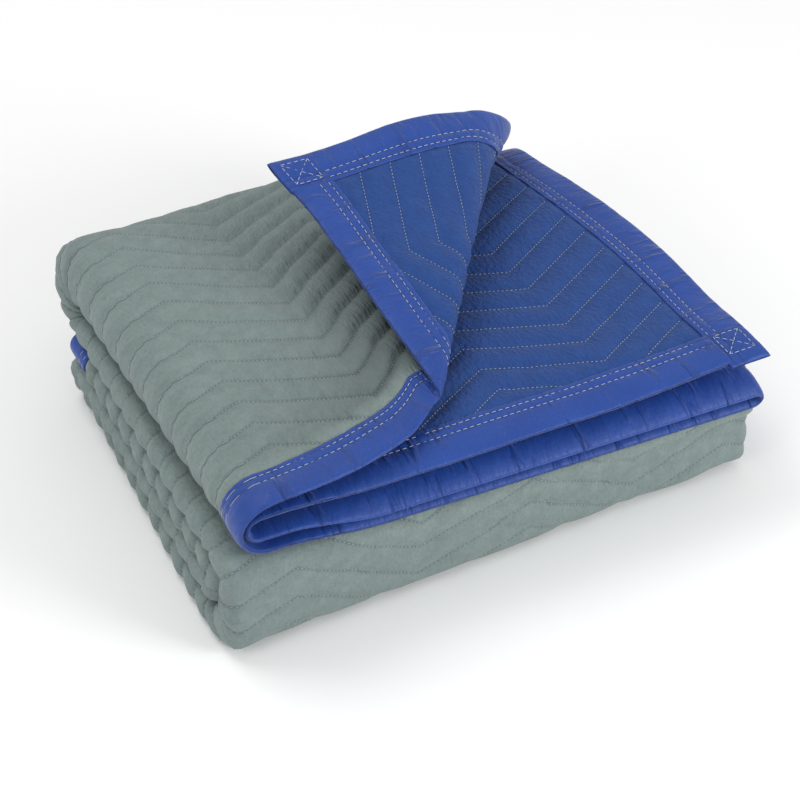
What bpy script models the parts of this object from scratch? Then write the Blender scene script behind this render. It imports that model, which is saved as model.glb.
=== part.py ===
"""A quilted moving blanket, folded in four one way and in five the other, with one corner turned back.

The blanket is one rectangle of quilted cloth with tape bound over its edges. A point of the flat
blanket has two measures: s runs across its long side and v along its short side. The long side
is folded into a strip of four panels, and the strip is then folded into five sections.
fold_point() gives where such a point lies in the folded blanket. Each solid is drawn flat, cut
into triangles along its folds and quilting, and carried into place with its thickness.

Sizes are in millimetres until a mesh is made. +X is to the right, +Y to the back and +Z up.
"""

import math
from collections.abc import Callable
from typing import NamedTuple

import bmesh
import bpy
import numpy as np
from mathutils import Vector
from mathutils.geometry import delaunay_2d_cdt

METRES_PER_MM = 0.001
TINY = 1e-6
NEAR_RIM = 0.01

# The flat blanket, across its long side.
PANEL_LENGTH = 487.0
SIDE_FOLD_LENGTH = 28.0

# The cloth, its quilting and its binding.
CLOTH_THICKNESS = 4.6
BOUND_THICKNESS = 1.6
QUILT_PITCH = 31.0
QUILT_DEPTH = 1.5
QUILT_SKEW = 0.088
ZIGZAG_HALF_HEIGHT = 22.0
TAPE_WIDTH = 38.0
TAPE_THICKNESS = 1.0
TAPE_ROUNDS_FROM = 0.4
TAPE_NARROWING = 0.5
PIECE_GAP = 0.3
EDGE_GAP = 0.8

# The strip's free edges lie this far to the right, and its thickness falls towards them.
STRIP_WIDTH = 508.0
THINNING_TO_THE_RIGHT = 0.13
THINNING_ENDS_PAST = 1.1
TOP_SECTION_SWELL = 0.55
TOP_SECTION_CROWN = 0.35
NEST_PER_THICKNESS = 0.03

# Between two of the strip's four layers, whose levels go from 0 at panel 4 to 1 at panel 1.
THIRD = 1.0 / 3.0


class Section(NamedTuple):
    """A straight run of the strip: its ends in Y, its layers' levels and its edges in X."""

    name: str
    start_y: float
    end_y: float
    panel_4_level: float
    start_panel_1_level: float
    end_panel_1_level: float
    start_left: float
    end_left: float
    start_right: float
    end_right: float


SECTIONS = (
    Section("top", -8.0, 362.0, 105.3, 160.5, 160.5, 5.0, 5.0, 509.0, 478.0),
    Section("second", 362.0, 47.0, 97.6, 78.7, 78.7, 6.0, -5.0, 484.0, 506.0),
    Section("bottom", 47.0, 362.0, 2.3, 21.2, 21.2, -10.0, 9.0, 509.0, 500.0),
    Section("fourth", 362.0, 47.0, 46.8, 27.9, 27.9, 2.0, -7.0, 500.0, 505.0),
    Section("third", 47.0, 376.0, 53.2, 72.1, 72.1, -6.0, 3.0, 505.0, 500.0),
)


class Turn(NamedTuple):
    """A fold between two sections: how far each outer layer reaches, and how square it is."""

    name: str
    panel_4_reach: float
    panel_1_reach: float
    panel_4_squareness: float
    panel_1_squareness: float


TURNS = (
    Turn("top back fold", 4.0, 64.0, 2.0, 2.5),
    Turn("front fold", 60.0, 29.0, 5.0, 2.2),
    Turn("low back fold", 24.0, 3.5, 2.2, 2.0),
    Turn("inner front fold", 3.5, 22.0, 2.0, 2.2),
)
TURN_STEPS = 8


class Front(NamedTuple):
    """The front edge of one layer of the top section: where it lies and how far it hangs."""

    layer: float
    edge_y: float
    droop: float


FRONTS = (
    Front(0.0, -8.0, 0.0),
    Front(THIRD, -13.0, 9.0),
    Front(2 * THIRD, -10.0, 5.0),
    Front(1.0, -17.0, 4.0),
)
DROOP_LENGTH = 60.0
SHOULDER_REACH = 64.0
SHOULDER_SHARE = 0.98
SHOULDER_SQUARENESS = 4.4
SHOULDER_LEFT_X = 40.0
SHOULDER_WIDTH = 100.0
SHOULDER_MIDDLE = 50.0

# The turned-back corner of the top layer. It rolls about a cone whose tip is just in front
# of the cloth. Angles are in degrees, about that tip.
CORNER_CREASE_X = 204.5
CORNER_CREASE_Y = 36.0
CONE_TIP_AHEAD = 60.0
CREASE_ON_CLOTH = 47.0
CREASE_IN_SPACE = 58.5
CREASE_LEVEL = 163.0
SWING_FADE = 70.0
ROLL_RADIUS = 3.9
FLAP_CLIMB = 11.0
PULL_START_X = 30.0
PULL_POWER = 2.0
PULL_FADE_START = 262.0
PULL_FADE_LENGTH = 260.0

# The hollow beside the turned corner, where the top layers lie closer together.
VALLEY_X = 215.0
VALLEY_WIDTH = 200.0
VALLEY_V = 400.0
VALLEY_LENGTH = 330.0
VALLEY_DEPTH = 0.42

# The lowest sections lie askew, set back more and more to the right.
ASKEW = 0.044
ASKEW_FROM_X = 60.0
ASKEW_LEVEL = 62.0
ASKEW_FADE = 24.0


class Lean(NamedTuple):
    """A place where the whole pad has leaned or sunk a little, fading out over its spread."""

    centre: tuple[float, float, float]
    spread: tuple[float, float, float]
    shift: tuple[float, float, float]


LEANS = {
    "open side": Lean((520.0, 190.0, 150.0), (170.0, 190.0, 70.0), (8.0, 0.0, 8.0)),
    "second layer's corner": Lean((530.0, -20.0, 140.0), (200.0, 120.0, 45.0), (-3.0, 0.0, 12.0)),
    "turned corner's edge": Lean((330.0, 335.0, 225.0), (130.0, 110.0, 45.0), (0.0, 0.0, 12.0)),
    "end of the roll": Lean((440.0, 355.0, 195.0), (90.0, 90.0, 60.0), (12.0, 0.0, -10.0)),
    "turned corner's tip": Lean((196.0, 324.0, 235.0), (90.0, 70.0, 50.0), (-8.0, 0.0, 2.0)),
}

# Zigzag turning points of the quilting, by panel, as distances across the strip.
ZIGZAG_PANEL_1 = (477.0, 372.0, 267.0, 162.0, 57.0)
ZIGZAG_PANEL_4 = (51.0, 170.0, 281.0, 388.0, 485.0)
ZIGZAG_PANEL_3 = (420.0, 300.0, 180.0, 70.0)
ZIGZAG_PANEL_2 = (57.0, 162.0, 267.0, 372.0, 477.0)
SIDE_FOLD_AT_LEFT = 30.0


class Material(NamedTuple):
    """A plain finish: its colour, roughness and metallic value."""

    name: str
    colour: tuple[float, float, float]
    roughness: float
    metallic: float


GREY_CLOTH = Material("grey_cloth", (0.23, 0.29, 0.27), 0.9, 0.0)
BLUE_CLOTH = Material("blue_cloth", (0.03, 0.09, 0.34), 0.85, 0.0)
BLUE_TAPE = Material("blue_tape", (0.045, 0.11, 0.5), 0.7, 0.0)


class Span(NamedTuple):
    """A stretch of the flat blanket across its long side."""

    name: str
    start: float
    end: float


def long_side_spans() -> dict[str, Span]:
    """Returns the panels and side folds in their order across the long side."""
    order = ("panel_1", "fold_14", "panel_4", "fold_43", "panel_3", "fold_32", "panel_2")
    spans = {}
    start = 0.0
    for name in order:
        length = PANEL_LENGTH if name.startswith("panel") else SIDE_FOLD_LENGTH
        spans[name] = Span(name, start, start + length)
        start += length
    return spans


SPANS = long_side_spans()
LONG_SIDE = SPANS["panel_2"].end


def clamp(value: float, low: float = 0.0, high: float = 1.0) -> float:
    return max(low, min(high, value))


def smooth(value: float) -> float:
    t = clamp(value)
    return t * t * (3.0 - 2.0 * t)


def lerp(start: float, end: float, share: float) -> float:
    return start + (end - start) * share


def powered(value: float, power: float) -> float:
    return math.copysign(abs(value) ** power, value)


def turn_offset(angle: float, reach: float, half_height: float, squareness: float):
    """Returns how far out and up a turn's layer is at an angle from 0 to pi."""
    power = 2.0 / squareness
    out = reach * powered(math.sin(angle), power)
    along = half_height * powered(math.cos(angle), power)
    return out, along


class TurnShape:
    """One fold between sections, with its layers' curves measured by the outer layer."""

    SAMPLES = 240

    def __init__(self, turn: Turn, before: Section, after: Section):
        self.turn = turn
        self.side = 1.0 if before.end_y > before.start_y else -1.0
        self.pivot_y = before.end_y
        self.levels_4 = (before.panel_4_level, after.panel_4_level)
        self.levels_1 = (before.end_panel_1_level, after.start_panel_1_level)
        self.outer_is_4 = turn.panel_4_reach > turn.panel_1_reach
        angles = np.linspace(0.0, math.pi, self.SAMPLES)
        curve = [self.point(a, 0.0 if self.outer_is_4 else 1.0) for a in angles]
        steps = np.linalg.norm(np.diff(np.array(curve), axis=0), axis=1)
        self.lengths = np.concatenate([[0.0], np.cumsum(steps)])
        self.angles = angles
        self.length = float(self.lengths[-1])

    def one_layer(self, angle: float, levels, reach: float, squareness: float):
        middle = sum(levels) / 2.0
        half = (levels[0] - levels[1]) / 2.0
        out, up = turn_offset(angle, reach, half, squareness)
        return self.pivot_y + self.side * out, middle + up

    def point(self, angle: float, layer: float) -> tuple[float, float]:
        turn = self.turn
        a = self.one_layer(angle, self.levels_4, turn.panel_4_reach, turn.panel_4_squareness)
        b = self.one_layer(angle, self.levels_1, turn.panel_1_reach, turn.panel_1_squareness)
        return lerp(a[0], b[0], layer), lerp(a[1], b[1], layer)

    def at(self, distance: float, layer: float) -> tuple[float, float]:
        angle = float(np.interp(distance, self.lengths, self.angles))
        return self.point(angle, layer)


def front_value(layer: float, field: str, wraps: bool) -> float:
    """Returns a value of a layer's front edge; the outer side fold wraps round the others."""
    rows = [FRONTS[0], FRONTS[-1]] if wraps else FRONTS
    return float(np.interp(layer, [row.layer for row in rows], [getattr(row, field) for row in rows]))


class Stretch(NamedTuple):
    """A section or a turn, with the distances along the strip where it starts and ends."""

    start: float
    end: float
    section: Section | None
    turn: TurnShape | None
    before: Section
    after: Section


def strip_stretches() -> list[Stretch]:
    """Returns the sections and turns in their order along the strip."""
    stretches = []
    start = 0.0
    for index, section in enumerate(SECTIONS):
        end = start + abs(section.end_y - section.start_y)
        stretches.append(Stretch(start, end, section, None, section, section))
        start = end
        if index < len(TURNS):
            after = SECTIONS[index + 1]
            shape = TurnShape(TURNS[index], section, after)
            end = start + shape.length
            stretches.append(Stretch(start, end, None, shape, section, after))
            start = end
    return stretches


STRETCHES = strip_stretches()
SHORT_SIDE = STRETCHES[-1].end
TOP_LENGTH = STRETCHES[0].end
TOP_TURN_END = STRETCHES[1].end


def stretch_at(v: float) -> tuple[Stretch, float]:
    """Returns the stretch that holds a distance along the strip, and the share of it passed."""
    for stretch in STRETCHES:
        if v <= stretch.end:
            break
    return stretch, (v - stretch.start) / (stretch.end - stretch.start)


def edge_values(stretch: Stretch, share: float) -> tuple[float, float, float]:
    """Returns the strip's left end, right end and the height from panel 4 to panel 1."""
    if stretch.section:
        row = stretch.section
        thickness_start = abs(row.start_panel_1_level - row.panel_4_level)
        thickness_end = abs(row.end_panel_1_level - row.panel_4_level)
        left = lerp(row.start_left, row.end_left, share)
        right = lerp(row.start_right, row.end_right, share)
        return left, right, lerp(thickness_start, thickness_end, share)
    before, after = stretch.before, stretch.after
    eased = smooth(share)
    thickness_start = abs(before.end_panel_1_level - before.panel_4_level)
    thickness_end = abs(after.start_panel_1_level - after.panel_4_level)
    left = lerp(before.end_left, after.start_left, eased)
    right = lerp(before.end_right, after.start_right, eased)
    return left, right, lerp(thickness_start, thickness_end, eased)


def across(s: float, left: float, right: float, thickness: float) -> tuple[float, float]:
    """Returns the place in X and the layer of a point of the strip's folded width."""
    outer = thickness / 2.0
    inner = thickness / 6.0
    nest = CLOTH_THICKNESS + PIECE_GAP + NEST_PER_THICKNESS * thickness
    x_14 = left + outer
    x_32 = left + nest + inner
    x_43 = right - inner
    if s <= SPANS["panel_1"].end:
        return lerp(right, x_14, s / PANEL_LENGTH), 1.0
    if s <= SPANS["fold_14"].end:
        angle = math.pi * (s - SPANS["fold_14"].start) / SIDE_FOLD_LENGTH
        return x_14 - outer * math.sin(angle), 0.5 + 0.5 * math.cos(angle)
    if s <= SPANS["panel_4"].end:
        return lerp(x_14, x_43, (s - SPANS["panel_4"].start) / PANEL_LENGTH), 0.0
    if s <= SPANS["fold_43"].end:
        angle = math.pi * (s - SPANS["fold_43"].start) / SIDE_FOLD_LENGTH
        return x_43 + inner * math.sin(angle), (1.0 - math.cos(angle)) / 6.0
    if s <= SPANS["panel_3"].end:
        return lerp(x_43, x_32, (s - SPANS["panel_3"].start) / PANEL_LENGTH), THIRD
    if s <= SPANS["fold_32"].end:
        angle = math.pi * (s - SPANS["fold_32"].start) / SIDE_FOLD_LENGTH
        return x_32 - inner * math.sin(angle), 0.5 - math.cos(angle) / 6.0
    return lerp(x_32, right, (s - SPANS["panel_2"].start) / PANEL_LENGTH), 2 * THIRD


def profile(v: float, layer: float, wraps: bool = False, x: float = STRIP_WIDTH):
    """Returns the place in Y and Z of a layer, some distance along the strip.

    Args:
        v: The distance along the strip.
        layer: The layer, from 0 at panel 4 to 1 at panel 1.
        wraps: Whether the point is on the outer panels or the side fold that joins them.
        x: The place across the strip, because the front edge hangs less at its left end.
    """
    stretch, share = stretch_at(v)
    if stretch.turn:
        return stretch.turn.at(v - stretch.start, layer)
    row = stretch.section
    panel_1_level = lerp(row.start_panel_1_level, row.end_panel_1_level, share)
    if row is not SECTIONS[0]:
        return lerp(row.start_y, row.end_y, share), lerp(row.panel_4_level, panel_1_level, layer)
    y = lerp(front_value(layer, "edge_y", wraps), row.end_y, share)
    y_4 = lerp(FRONTS[0].edge_y, row.end_y, share)
    hanging = smooth((x - SHOULDER_LEFT_X) / SHOULDER_WIDTH)
    low = lerp(row.panel_4_level, shoulder_level(y_4, row.panel_4_level), hanging)
    hang = (1.0 - clamp(v / DROOP_LENGTH)) ** 2
    return y, lerp(low, panel_1_level, layer) - front_value(layer, "droop", wraps) * hang * hanging


def shoulder_level(y: float, level: float) -> float:
    """Returns the level of the top section's lowest layer, which hangs over the front fold."""
    ahead = clamp((SECTIONS[1].end_y - y) / SHOULDER_REACH, 0.0, SHOULDER_SHARE)
    bend = (1.0 - ahead**SHOULDER_SQUARENESS) ** (1.0 / SHOULDER_SQUARENESS)
    return SHOULDER_MIDDLE + (level - SHOULDER_MIDDLE) * bend


def strip_point(s: float, v: float) -> np.ndarray:
    """Returns where a point lies before the top corner is turned back."""
    stretch, share = stretch_at(v)
    left, right, thickness = edge_values(stretch, share)
    x, layer = across(s, left, right, thickness)
    y, z = profile(v, layer, s <= SPANS["panel_4"].end, x)
    to_right = x / STRIP_WIDTH
    if v < TOP_TURN_END:
        _, z_4 = profile(v, 0.0, True, x)
        share = clamp(to_right)
        swell = TOP_SECTION_SWELL * share + TOP_SECTION_CROWN * share * (1.0 - share)
        beside = 1.0 - smooth(abs(x - VALLEY_X) / VALLEY_WIDTH)
        swell -= VALLEY_DEPTH * beside * (1.0 - smooth(abs(v - VALLEY_V) / VALLEY_LENGTH))
        swell *= 1.0 - smooth((v - PULL_FADE_START) / PULL_FADE_LENGTH)
        z = z_4 + (z - z_4) * (1.0 + swell)
    base = SECTIONS[2].panel_4_level
    thinning = THINNING_TO_THE_RIGHT * clamp(to_right, 0.0, THINNING_ENDS_PAST)
    return np.array([x, y, base + (z - base) * (1.0 - thinning)])


def cone_tip(angle: float, x: float, y: float) -> tuple[float, float]:
    turned = math.radians(angle)
    return x - CONE_TIP_AHEAD * math.cos(turned), y - CONE_TIP_AHEAD * math.sin(turned)


def corner_place(s: float, v: float) -> tuple[float, float, float, float]:
    """Returns the turned-back corner's place in X, Y and height, and its angle on the cloth."""
    flat_x = lerp(STRIP_WIDTH, SIDE_FOLD_AT_LEFT, s / PANEL_LENGTH)
    tip = cone_tip(CREASE_ON_CLOTH, CORNER_CREASE_X, 0.0)
    reach = math.hypot(flat_x - tip[0], v - tip[1])
    on_cloth = math.degrees(math.atan2(v - tip[1], flat_x - tip[0]))
    swing = CREASE_IN_SPACE - CREASE_ON_CLOTH
    past = CREASE_ON_CLOTH - on_cloth
    level = 0.0
    if past <= 0.0:
        heading = on_cloth + swing * (1.0 - smooth(-past / SWING_FADE))
    else:
        rolled = min(past / ROLL_RADIUS, math.pi)
        heading = CREASE_IN_SPACE - ROLL_RADIUS * math.sin(rolled)
        level = ROLL_RADIUS * (1.0 - math.cos(rolled))
    way = direction(heading, level)
    rest = math.radians(past - math.pi * ROLL_RADIUS)
    if rest > 0.0:
        sideways = direction(heading + 90.0, 0.0)
        tilt = math.radians(FLAP_CLIMB)
        onward = sideways * math.cos(tilt) + direction(heading, level + 90.0) * math.sin(tilt)
        way = way * math.cos(rest) + onward * math.sin(rest)
    centre = cone_tip(CREASE_IN_SPACE, CORNER_CREASE_X, CORNER_CREASE_Y)
    place = np.array([*centre, 0.0]) + way * reach
    return place[0], place[1], place[2], on_cloth


def direction(heading: float, level: float) -> np.ndarray:
    """Returns the unit vector at an angle round from +X and an angle above the ground."""
    turned, raised = math.radians(heading), math.radians(level)
    flat = math.cos(raised)
    return np.array([flat * math.cos(turned), flat * math.sin(turned), math.sin(raised)])


def leaned(place: np.ndarray) -> np.ndarray:
    """Returns a point moved by each of the leans that it lies in."""
    moved = np.array(place)
    low = 1.0 - smooth((place[2] - ASKEW_LEVEL) / ASKEW_FADE)
    moved[1] += ASKEW * (place[0] - ASKEW_FROM_X) * low
    for lean in LEANS.values():
        away = np.abs(place - np.array(lean.centre)) / np.array(lean.spread)
        weight = math.prod(1.0 - smooth(share) for share in away)
        moved = moved + weight * np.array(lean.shift)
    return moved


def fold_point(s: float, v: float) -> np.ndarray:
    """Returns where a point of the flat blanket's middle surface lies in the folded blanket."""
    return leaned(turned_point(s, v))


def turned_point(s: float, v: float) -> np.ndarray:
    """Returns where a point lies before the pad leans."""
    place = strip_point(s, v)
    if s > SPANS["fold_14"].end or v > PULL_FADE_START + PULL_FADE_LENGTH:
        return place
    flat_x = lerp(STRIP_WIDTH, SIDE_FOLD_AT_LEFT, s / PANEL_LENGTH)
    x, y, height, on_cloth = corner_place(s, v)
    pull = 1.0
    if on_cloth > CREASE_ON_CLOTH:
        ramp = (flat_x - PULL_START_X) / (CORNER_CREASE_X - PULL_START_X)
        pull = clamp(ramp) ** PULL_POWER
    pull *= 1.0 - smooth((v - PULL_FADE_START) / PULL_FADE_LENGTH)
    lifted = smooth((CREASE_ON_CLOTH - on_cloth) / (math.pi * ROLL_RADIUS))
    rise = height + lifted * (CREASE_LEVEL - place[2])
    return place + pull * np.array([x - place[0], y - place[1], rise])


def fold_frame(s: float, v: float) -> tuple[np.ndarray, np.ndarray]:
    """Returns a point of the folded middle surface and its normal on the grey side.

    Args:
        s: Distance across the long side, which may lie a little outside the cloth.
        v: Distance along the short side, which may lie a little outside the cloth.
    """
    step = 0.4
    s_in = clamp(s, step, LONG_SIDE - step)
    v_in = clamp(v, step, SHORT_SIDE - step)
    along_s = (fold_point(s_in + step, v_in) - fold_point(s_in - step, v_in)) / (2 * step)
    along_v = (fold_point(s_in, v_in + step) - fold_point(s_in, v_in - step)) / (2 * step)
    place = fold_point(s_in, v_in)
    for way, off in ((along_s, s - s_in), (along_v, v - v_in)):
        place = place + way / np.linalg.norm(way) * off
    normal = np.cross(along_v, along_s)
    return place, normal / np.linalg.norm(normal)


def zigzag_stations() -> tuple[np.ndarray, np.ndarray]:
    """Returns the zigzag's turning points across the long side, and its height at each."""
    low_left = SIDE_FOLD_AT_LEFT
    run = STRIP_WIDTH - low_left
    one, four = SPANS["panel_1"], SPANS["panel_4"]
    three, two = SPANS["panel_3"], SPANS["panel_2"]
    stations = [one.start + (STRIP_WIDTH - x) / run * PANEL_LENGTH for x in ZIGZAG_PANEL_1]
    stations += [four.start + x / STRIP_WIDTH * PANEL_LENGTH for x in ZIGZAG_PANEL_4]
    stations += [three.start + (STRIP_WIDTH - x) / STRIP_WIDTH * PANEL_LENGTH for x in ZIGZAG_PANEL_3]
    stations += [two.start + x / STRIP_WIDTH * PANEL_LENGTH for x in ZIGZAG_PANEL_2]
    heights = [ZIGZAG_HALF_HEIGHT * (-1.0) ** index for index in range(len(stations))]
    return np.array(stations), np.array(heights)


ZIGZAG_AT, ZIGZAG_HEIGHTS = zigzag_stations()


def quilt_shift(s: float) -> float:
    """Returns how far along the strip a quilting line has moved, at a distance across it."""
    return QUILT_SKEW * s + float(np.interp(s, ZIGZAG_AT, ZIGZAG_HEIGHTS))


def quilt_relief(s: float, v: float) -> float:
    """Returns how deep the quilting has drawn the surface in."""
    phase = (v - quilt_shift(s)) / QUILT_PITCH
    return QUILT_DEPTH * abs(2.0 * abs(phase - round(phase)) - 1.0)


class Patch(NamedTuple):
    """A rectangle of one face that shows its quilting, and the stations its lines pass."""

    start_s: float
    end_s: float
    start_v: float
    end_v: float
    flat_at_ends: bool


BARE_EDGE = TAPE_WIDTH + PIECE_GAP
PADDING_STARTS_IN = 0.7
PADDED_EDGE = BARE_EDGE + PADDING_STARTS_IN
# How much of the blue face's quilting is in sight, on the turned corner and on panel 2.
FLAP_QUILTING = 330.0
PANEL_2_HIDDEN = 150.0


def grey_patches() -> list[Patch]:
    """Returns where the quilting of the grey face shows."""
    front, low_back = STRETCHES[3], STRETCHES[5]
    side_end = SPANS["fold_14"].end
    side_start = SPANS["fold_14"].start
    four = SPANS["panel_4"]
    right = SPANS["fold_43"]
    last = SHORT_SIDE - PADDED_EDGE
    inner_turns = (STRETCHES[1], STRETCHES[7])
    starts = [PADDED_EDGE, *(turn.end for turn in inner_turns)]
    ends = [*(turn.start for turn in inner_turns), last]
    return [
        Patch(PADDED_EDGE, side_end, PADDED_EDGE, TOP_TURN_END, False),
        Patch(side_start, side_end, TOP_TURN_END, last, False),
        Patch(four.start, four.end, front.start, front.end, True),
        Patch(four.start, four.end, low_back.start, low_back.end, True),
        *(Patch(right.start, right.end, a, b, True) for a, b in zip(starts, ends)),
    ]


def blue_patches() -> list[Patch]:
    """Returns where the quilting of the blue face shows."""
    two = SPANS["panel_2"]
    return [
        Patch(PADDED_EDGE, FLAP_QUILTING, PADDED_EDGE, FLAP_QUILTING, True),
        Patch(two.start + PANEL_2_HIDDEN, two.end - PADDED_EDGE, PADDED_EDGE, TOP_LENGTH, True),
    ]


def clip_line(start, end, patch: Patch):
    """Returns the part of a line that lies in a patch, or None."""
    low, high = 0.0, 1.0
    for axis, least, most in ((0, patch.start_s, patch.end_s), (1, patch.start_v, patch.end_v)):
        change = end[axis] - start[axis]
        if abs(change) < TINY:
            if not least <= start[axis] <= most:
                return None
            continue
        first, last = sorted(((least - start[axis]) / change, (most - start[axis]) / change))
        low, high = max(low, first), min(high, last)
    if high - low < TINY:
        return None
    return tuple(tuple(lerp(start[a], end[a], share) for a in (0, 1)) for share in (low, high))


class FlatDrawing:
    """Lines on the flat blanket, which become the edges of its triangles."""

    def __init__(self):
        self.known: dict[tuple[float, float], int] = {}
        self.points: list[Vector] = []
        self.edges: list[tuple[int, int]] = []

    def point(self, place) -> int:
        """Returns the index of a point, the same one for lines that start in one place."""
        key = (round(place[0], 2), round(place[1], 2))
        if key not in self.known:
            self.known[key] = len(self.points)
            self.points.append(Vector(key))
        return self.known[key]

    def line(self, start, end) -> None:
        ends = self.point(start), self.point(end)
        if ends[0] != ends[1]:
            self.edges.append(ends)

    def line_on_cloth(self, start, end) -> None:
        """Draws a line whose ends may lie just outside the cloth's rim."""
        inside = [(clamp(s, 0.0, LONG_SIDE), clamp(v, 0.0, SHORT_SIDE)) for s, v in (start, end)]
        self.line(*inside)

    def rectangle(self, inset: float) -> None:
        s, v = LONG_SIDE - inset, SHORT_SIDE - inset
        corners = [(inset, inset), (s, inset), (s, v), (inset, v)]
        for start, end in zip(corners, corners[1:] + corners[:1]):
            self.line(start, end)

    def quilting(self, patch: Patch) -> None:
        """Draws the stitched lines and the crests between them inside a patch."""
        inside = [s for s in ZIGZAG_AT if patch.start_s < s < patch.end_s]
        stations = [patch.start_s, *inside, patch.end_s]
        shifts = [quilt_shift(s) for s in stations]
        half = QUILT_PITCH / 2.0
        first = math.floor((patch.start_v - max(shifts)) / half)
        last = math.ceil((patch.end_v - min(shifts)) / half)
        for row in range(first, last + 1):
            for index in range(len(stations) - 1):
                start = (stations[index], row * half + shifts[index])
                end = (stations[index + 1], row * half + shifts[index + 1])
                kept = clip_line(start, end, patch)
                if kept:
                    self.line(*kept)

    def border(self, patch: Patch) -> None:
        corners = [
            (patch.start_s, patch.start_v),
            (patch.end_s, patch.start_v),
            (patch.end_s, patch.end_v),
            (patch.start_s, patch.end_v),
        ]
        for start, end in zip(corners, corners[1:] + corners[:1]):
            self.line(start, end)

    def triangles(self):
        """Returns the points and the triangles of the drawing."""
        merge = 0.1
        made = delaunay_2d_cdt(self.points, self.edges, [], 0, merge)
        return [tuple(p) for p in made[0]], [tuple(face) for face in made[2]]


SIDE_FOLD_STEPS = {"fold_14": 6, "fold_43": 4, "fold_32": 4}
DROOP_LINES = (18.0, 38.3, DROOP_LENGTH)
# Angles of the lines along which the corner bends, past its crease.
ROLL_STEPS = 6
ROLL_ANGLES = [math.pi * ROLL_RADIUS * step / ROLL_STEPS for step in range(ROLL_STEPS, -1, -1)]
CONE_ANGLES = (30.0, 20.0, *ROLL_ANGLES, -13.0, -30.0, -50.0)
# Places in X where the panels bend a little, between their folds.
PANEL_1_BENDS = (145.0, 100.0, 60.0)
PANEL_1_FAR_BENDS = (440.0,)
VALLEY_BENDS = (215.0, 290.0, 365.0)
PANEL_2_BENDS = (130.0, 255.0, 380.0, 440.0)
SHOULDER_BENDS = (60.0, 90.0, 140.0)
# Places along the two side bindings where they follow the pad's leans.
FIRST_SIDE_BENDS = (78.0, 96.0, 110.0, 160.0)
SECOND_SIDE_BENDS = (105.0, 150.0, 195.0, 240.0, 285.0, 330.0)


def folding_lines(drawing: FlatDrawing) -> None:
    """Draws the lines along which the cloth bends, and those of the bound edges."""
    for inset in (0.0, BARE_EDGE, PADDED_EDGE):
        drawing.rectangle(inset)
    for name, steps in SIDE_FOLD_STEPS.items():
        span = SPANS[name]
        for step in range(steps + 1):
            s = lerp(span.start, span.end, step / steps)
            drawing.line((s, 0.0), (s, SHORT_SIDE))
    for stretch in STRETCHES:
        steps = TURN_STEPS if stretch.turn else 1
        for step in range(steps):
            v = lerp(stretch.start, stretch.end, step / steps)
            if 0.0 < v < SHORT_SIDE:
                drawing.line((0.0, v), (LONG_SIDE, v))
    for v in DROOP_LINES:
        drawing.line((0.0, v), (LONG_SIDE, v))
    for x in (*PANEL_1_BENDS, *PANEL_1_FAR_BENDS):
        drawing.line((panel_1_station(x), 0.0), (panel_1_station(x), TOP_TURN_END))
    for x in VALLEY_BENDS:
        drawing.line((panel_1_station(x), TOP_LENGTH), (panel_1_station(x), TOP_TURN_END))
    for x in PANEL_2_BENDS:
        drawing.line((panel_2_station(x), 0.0), (panel_2_station(x), TOP_TURN_END))
    for s in shoulder_stations():
        drawing.line((s, 0.0), (s, DROOP_LENGTH))
    corner_lines(drawing)


def shoulder_stations() -> list[float]:
    """Returns where the hidden panels bend at the left end of the hanging front edge."""
    shares = [x / STRIP_WIDTH for x in SHOULDER_BENDS]
    four, three = SPANS["panel_4"], SPANS["panel_3"]
    return [lerp(four.start, four.end, share) for share in shares] + [
        lerp(three.end, three.start, share) for share in shares
    ]


def panel_1_station(x: float) -> float:
    """Returns the distance across the long side of a place in X on panel 1."""
    return (STRIP_WIDTH - x) / (STRIP_WIDTH - SIDE_FOLD_AT_LEFT) * PANEL_LENGTH


def panel_2_station(x: float) -> float:
    """Returns the distance across the long side of a place in X on panel 2."""
    return SPANS["panel_2"].start + x / STRIP_WIDTH * PANEL_LENGTH


def corner_lines(drawing: FlatDrawing) -> None:
    """Draws the lines from the cone's tip along which the top corner rolls back."""
    cloth = Patch(0.0, PANEL_LENGTH, 0.0, TOP_LENGTH, False)
    tip_x, tip_v = cone_tip(CREASE_ON_CLOTH, CORNER_CREASE_X, 0.0)
    per_x = PANEL_LENGTH / (STRIP_WIDTH - SIDE_FOLD_AT_LEFT)
    far = 900.0
    for past in CONE_ANGLES:
        angle = math.radians(CREASE_ON_CLOTH - past)
        end_x, end_v = tip_x + far * math.cos(angle), tip_v + far * math.sin(angle)
        start = ((STRIP_WIDTH - tip_x) * per_x, tip_v)
        kept = clip_line(start, ((STRIP_WIDTH - end_x) * per_x, end_v), cloth)
        if kept:
            drawing.line(*kept)


def cloth_half(s: float, v: float, patches: list[Patch]) -> float:
    """Returns how far one face of the cloth lies from its middle surface."""
    close = 0.05
    inset = min(s, v, LONG_SIDE - s, SHORT_SIDE - v)
    if inset < BARE_EDGE + close:
        return BOUND_THICKNESS / 2.0
    half = CLOTH_THICKNESS / 2.0
    for patch in patches:
        in_s = patch.start_s - close <= s <= patch.end_s + close
        in_v = patch.start_v - close <= v <= patch.end_v + close
        if not (in_s and in_v):
            continue
        at_end = min(v - patch.start_v, patch.end_v - v) < close
        at_side = min(s - patch.start_s, patch.end_s - s) < close
        by_edge = inset < PADDED_EDGE + close
        if patch.flat_at_ends and (at_end or at_side) and not by_edge:
            return half
        return half - quilt_relief(s, v)
    return half


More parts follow.
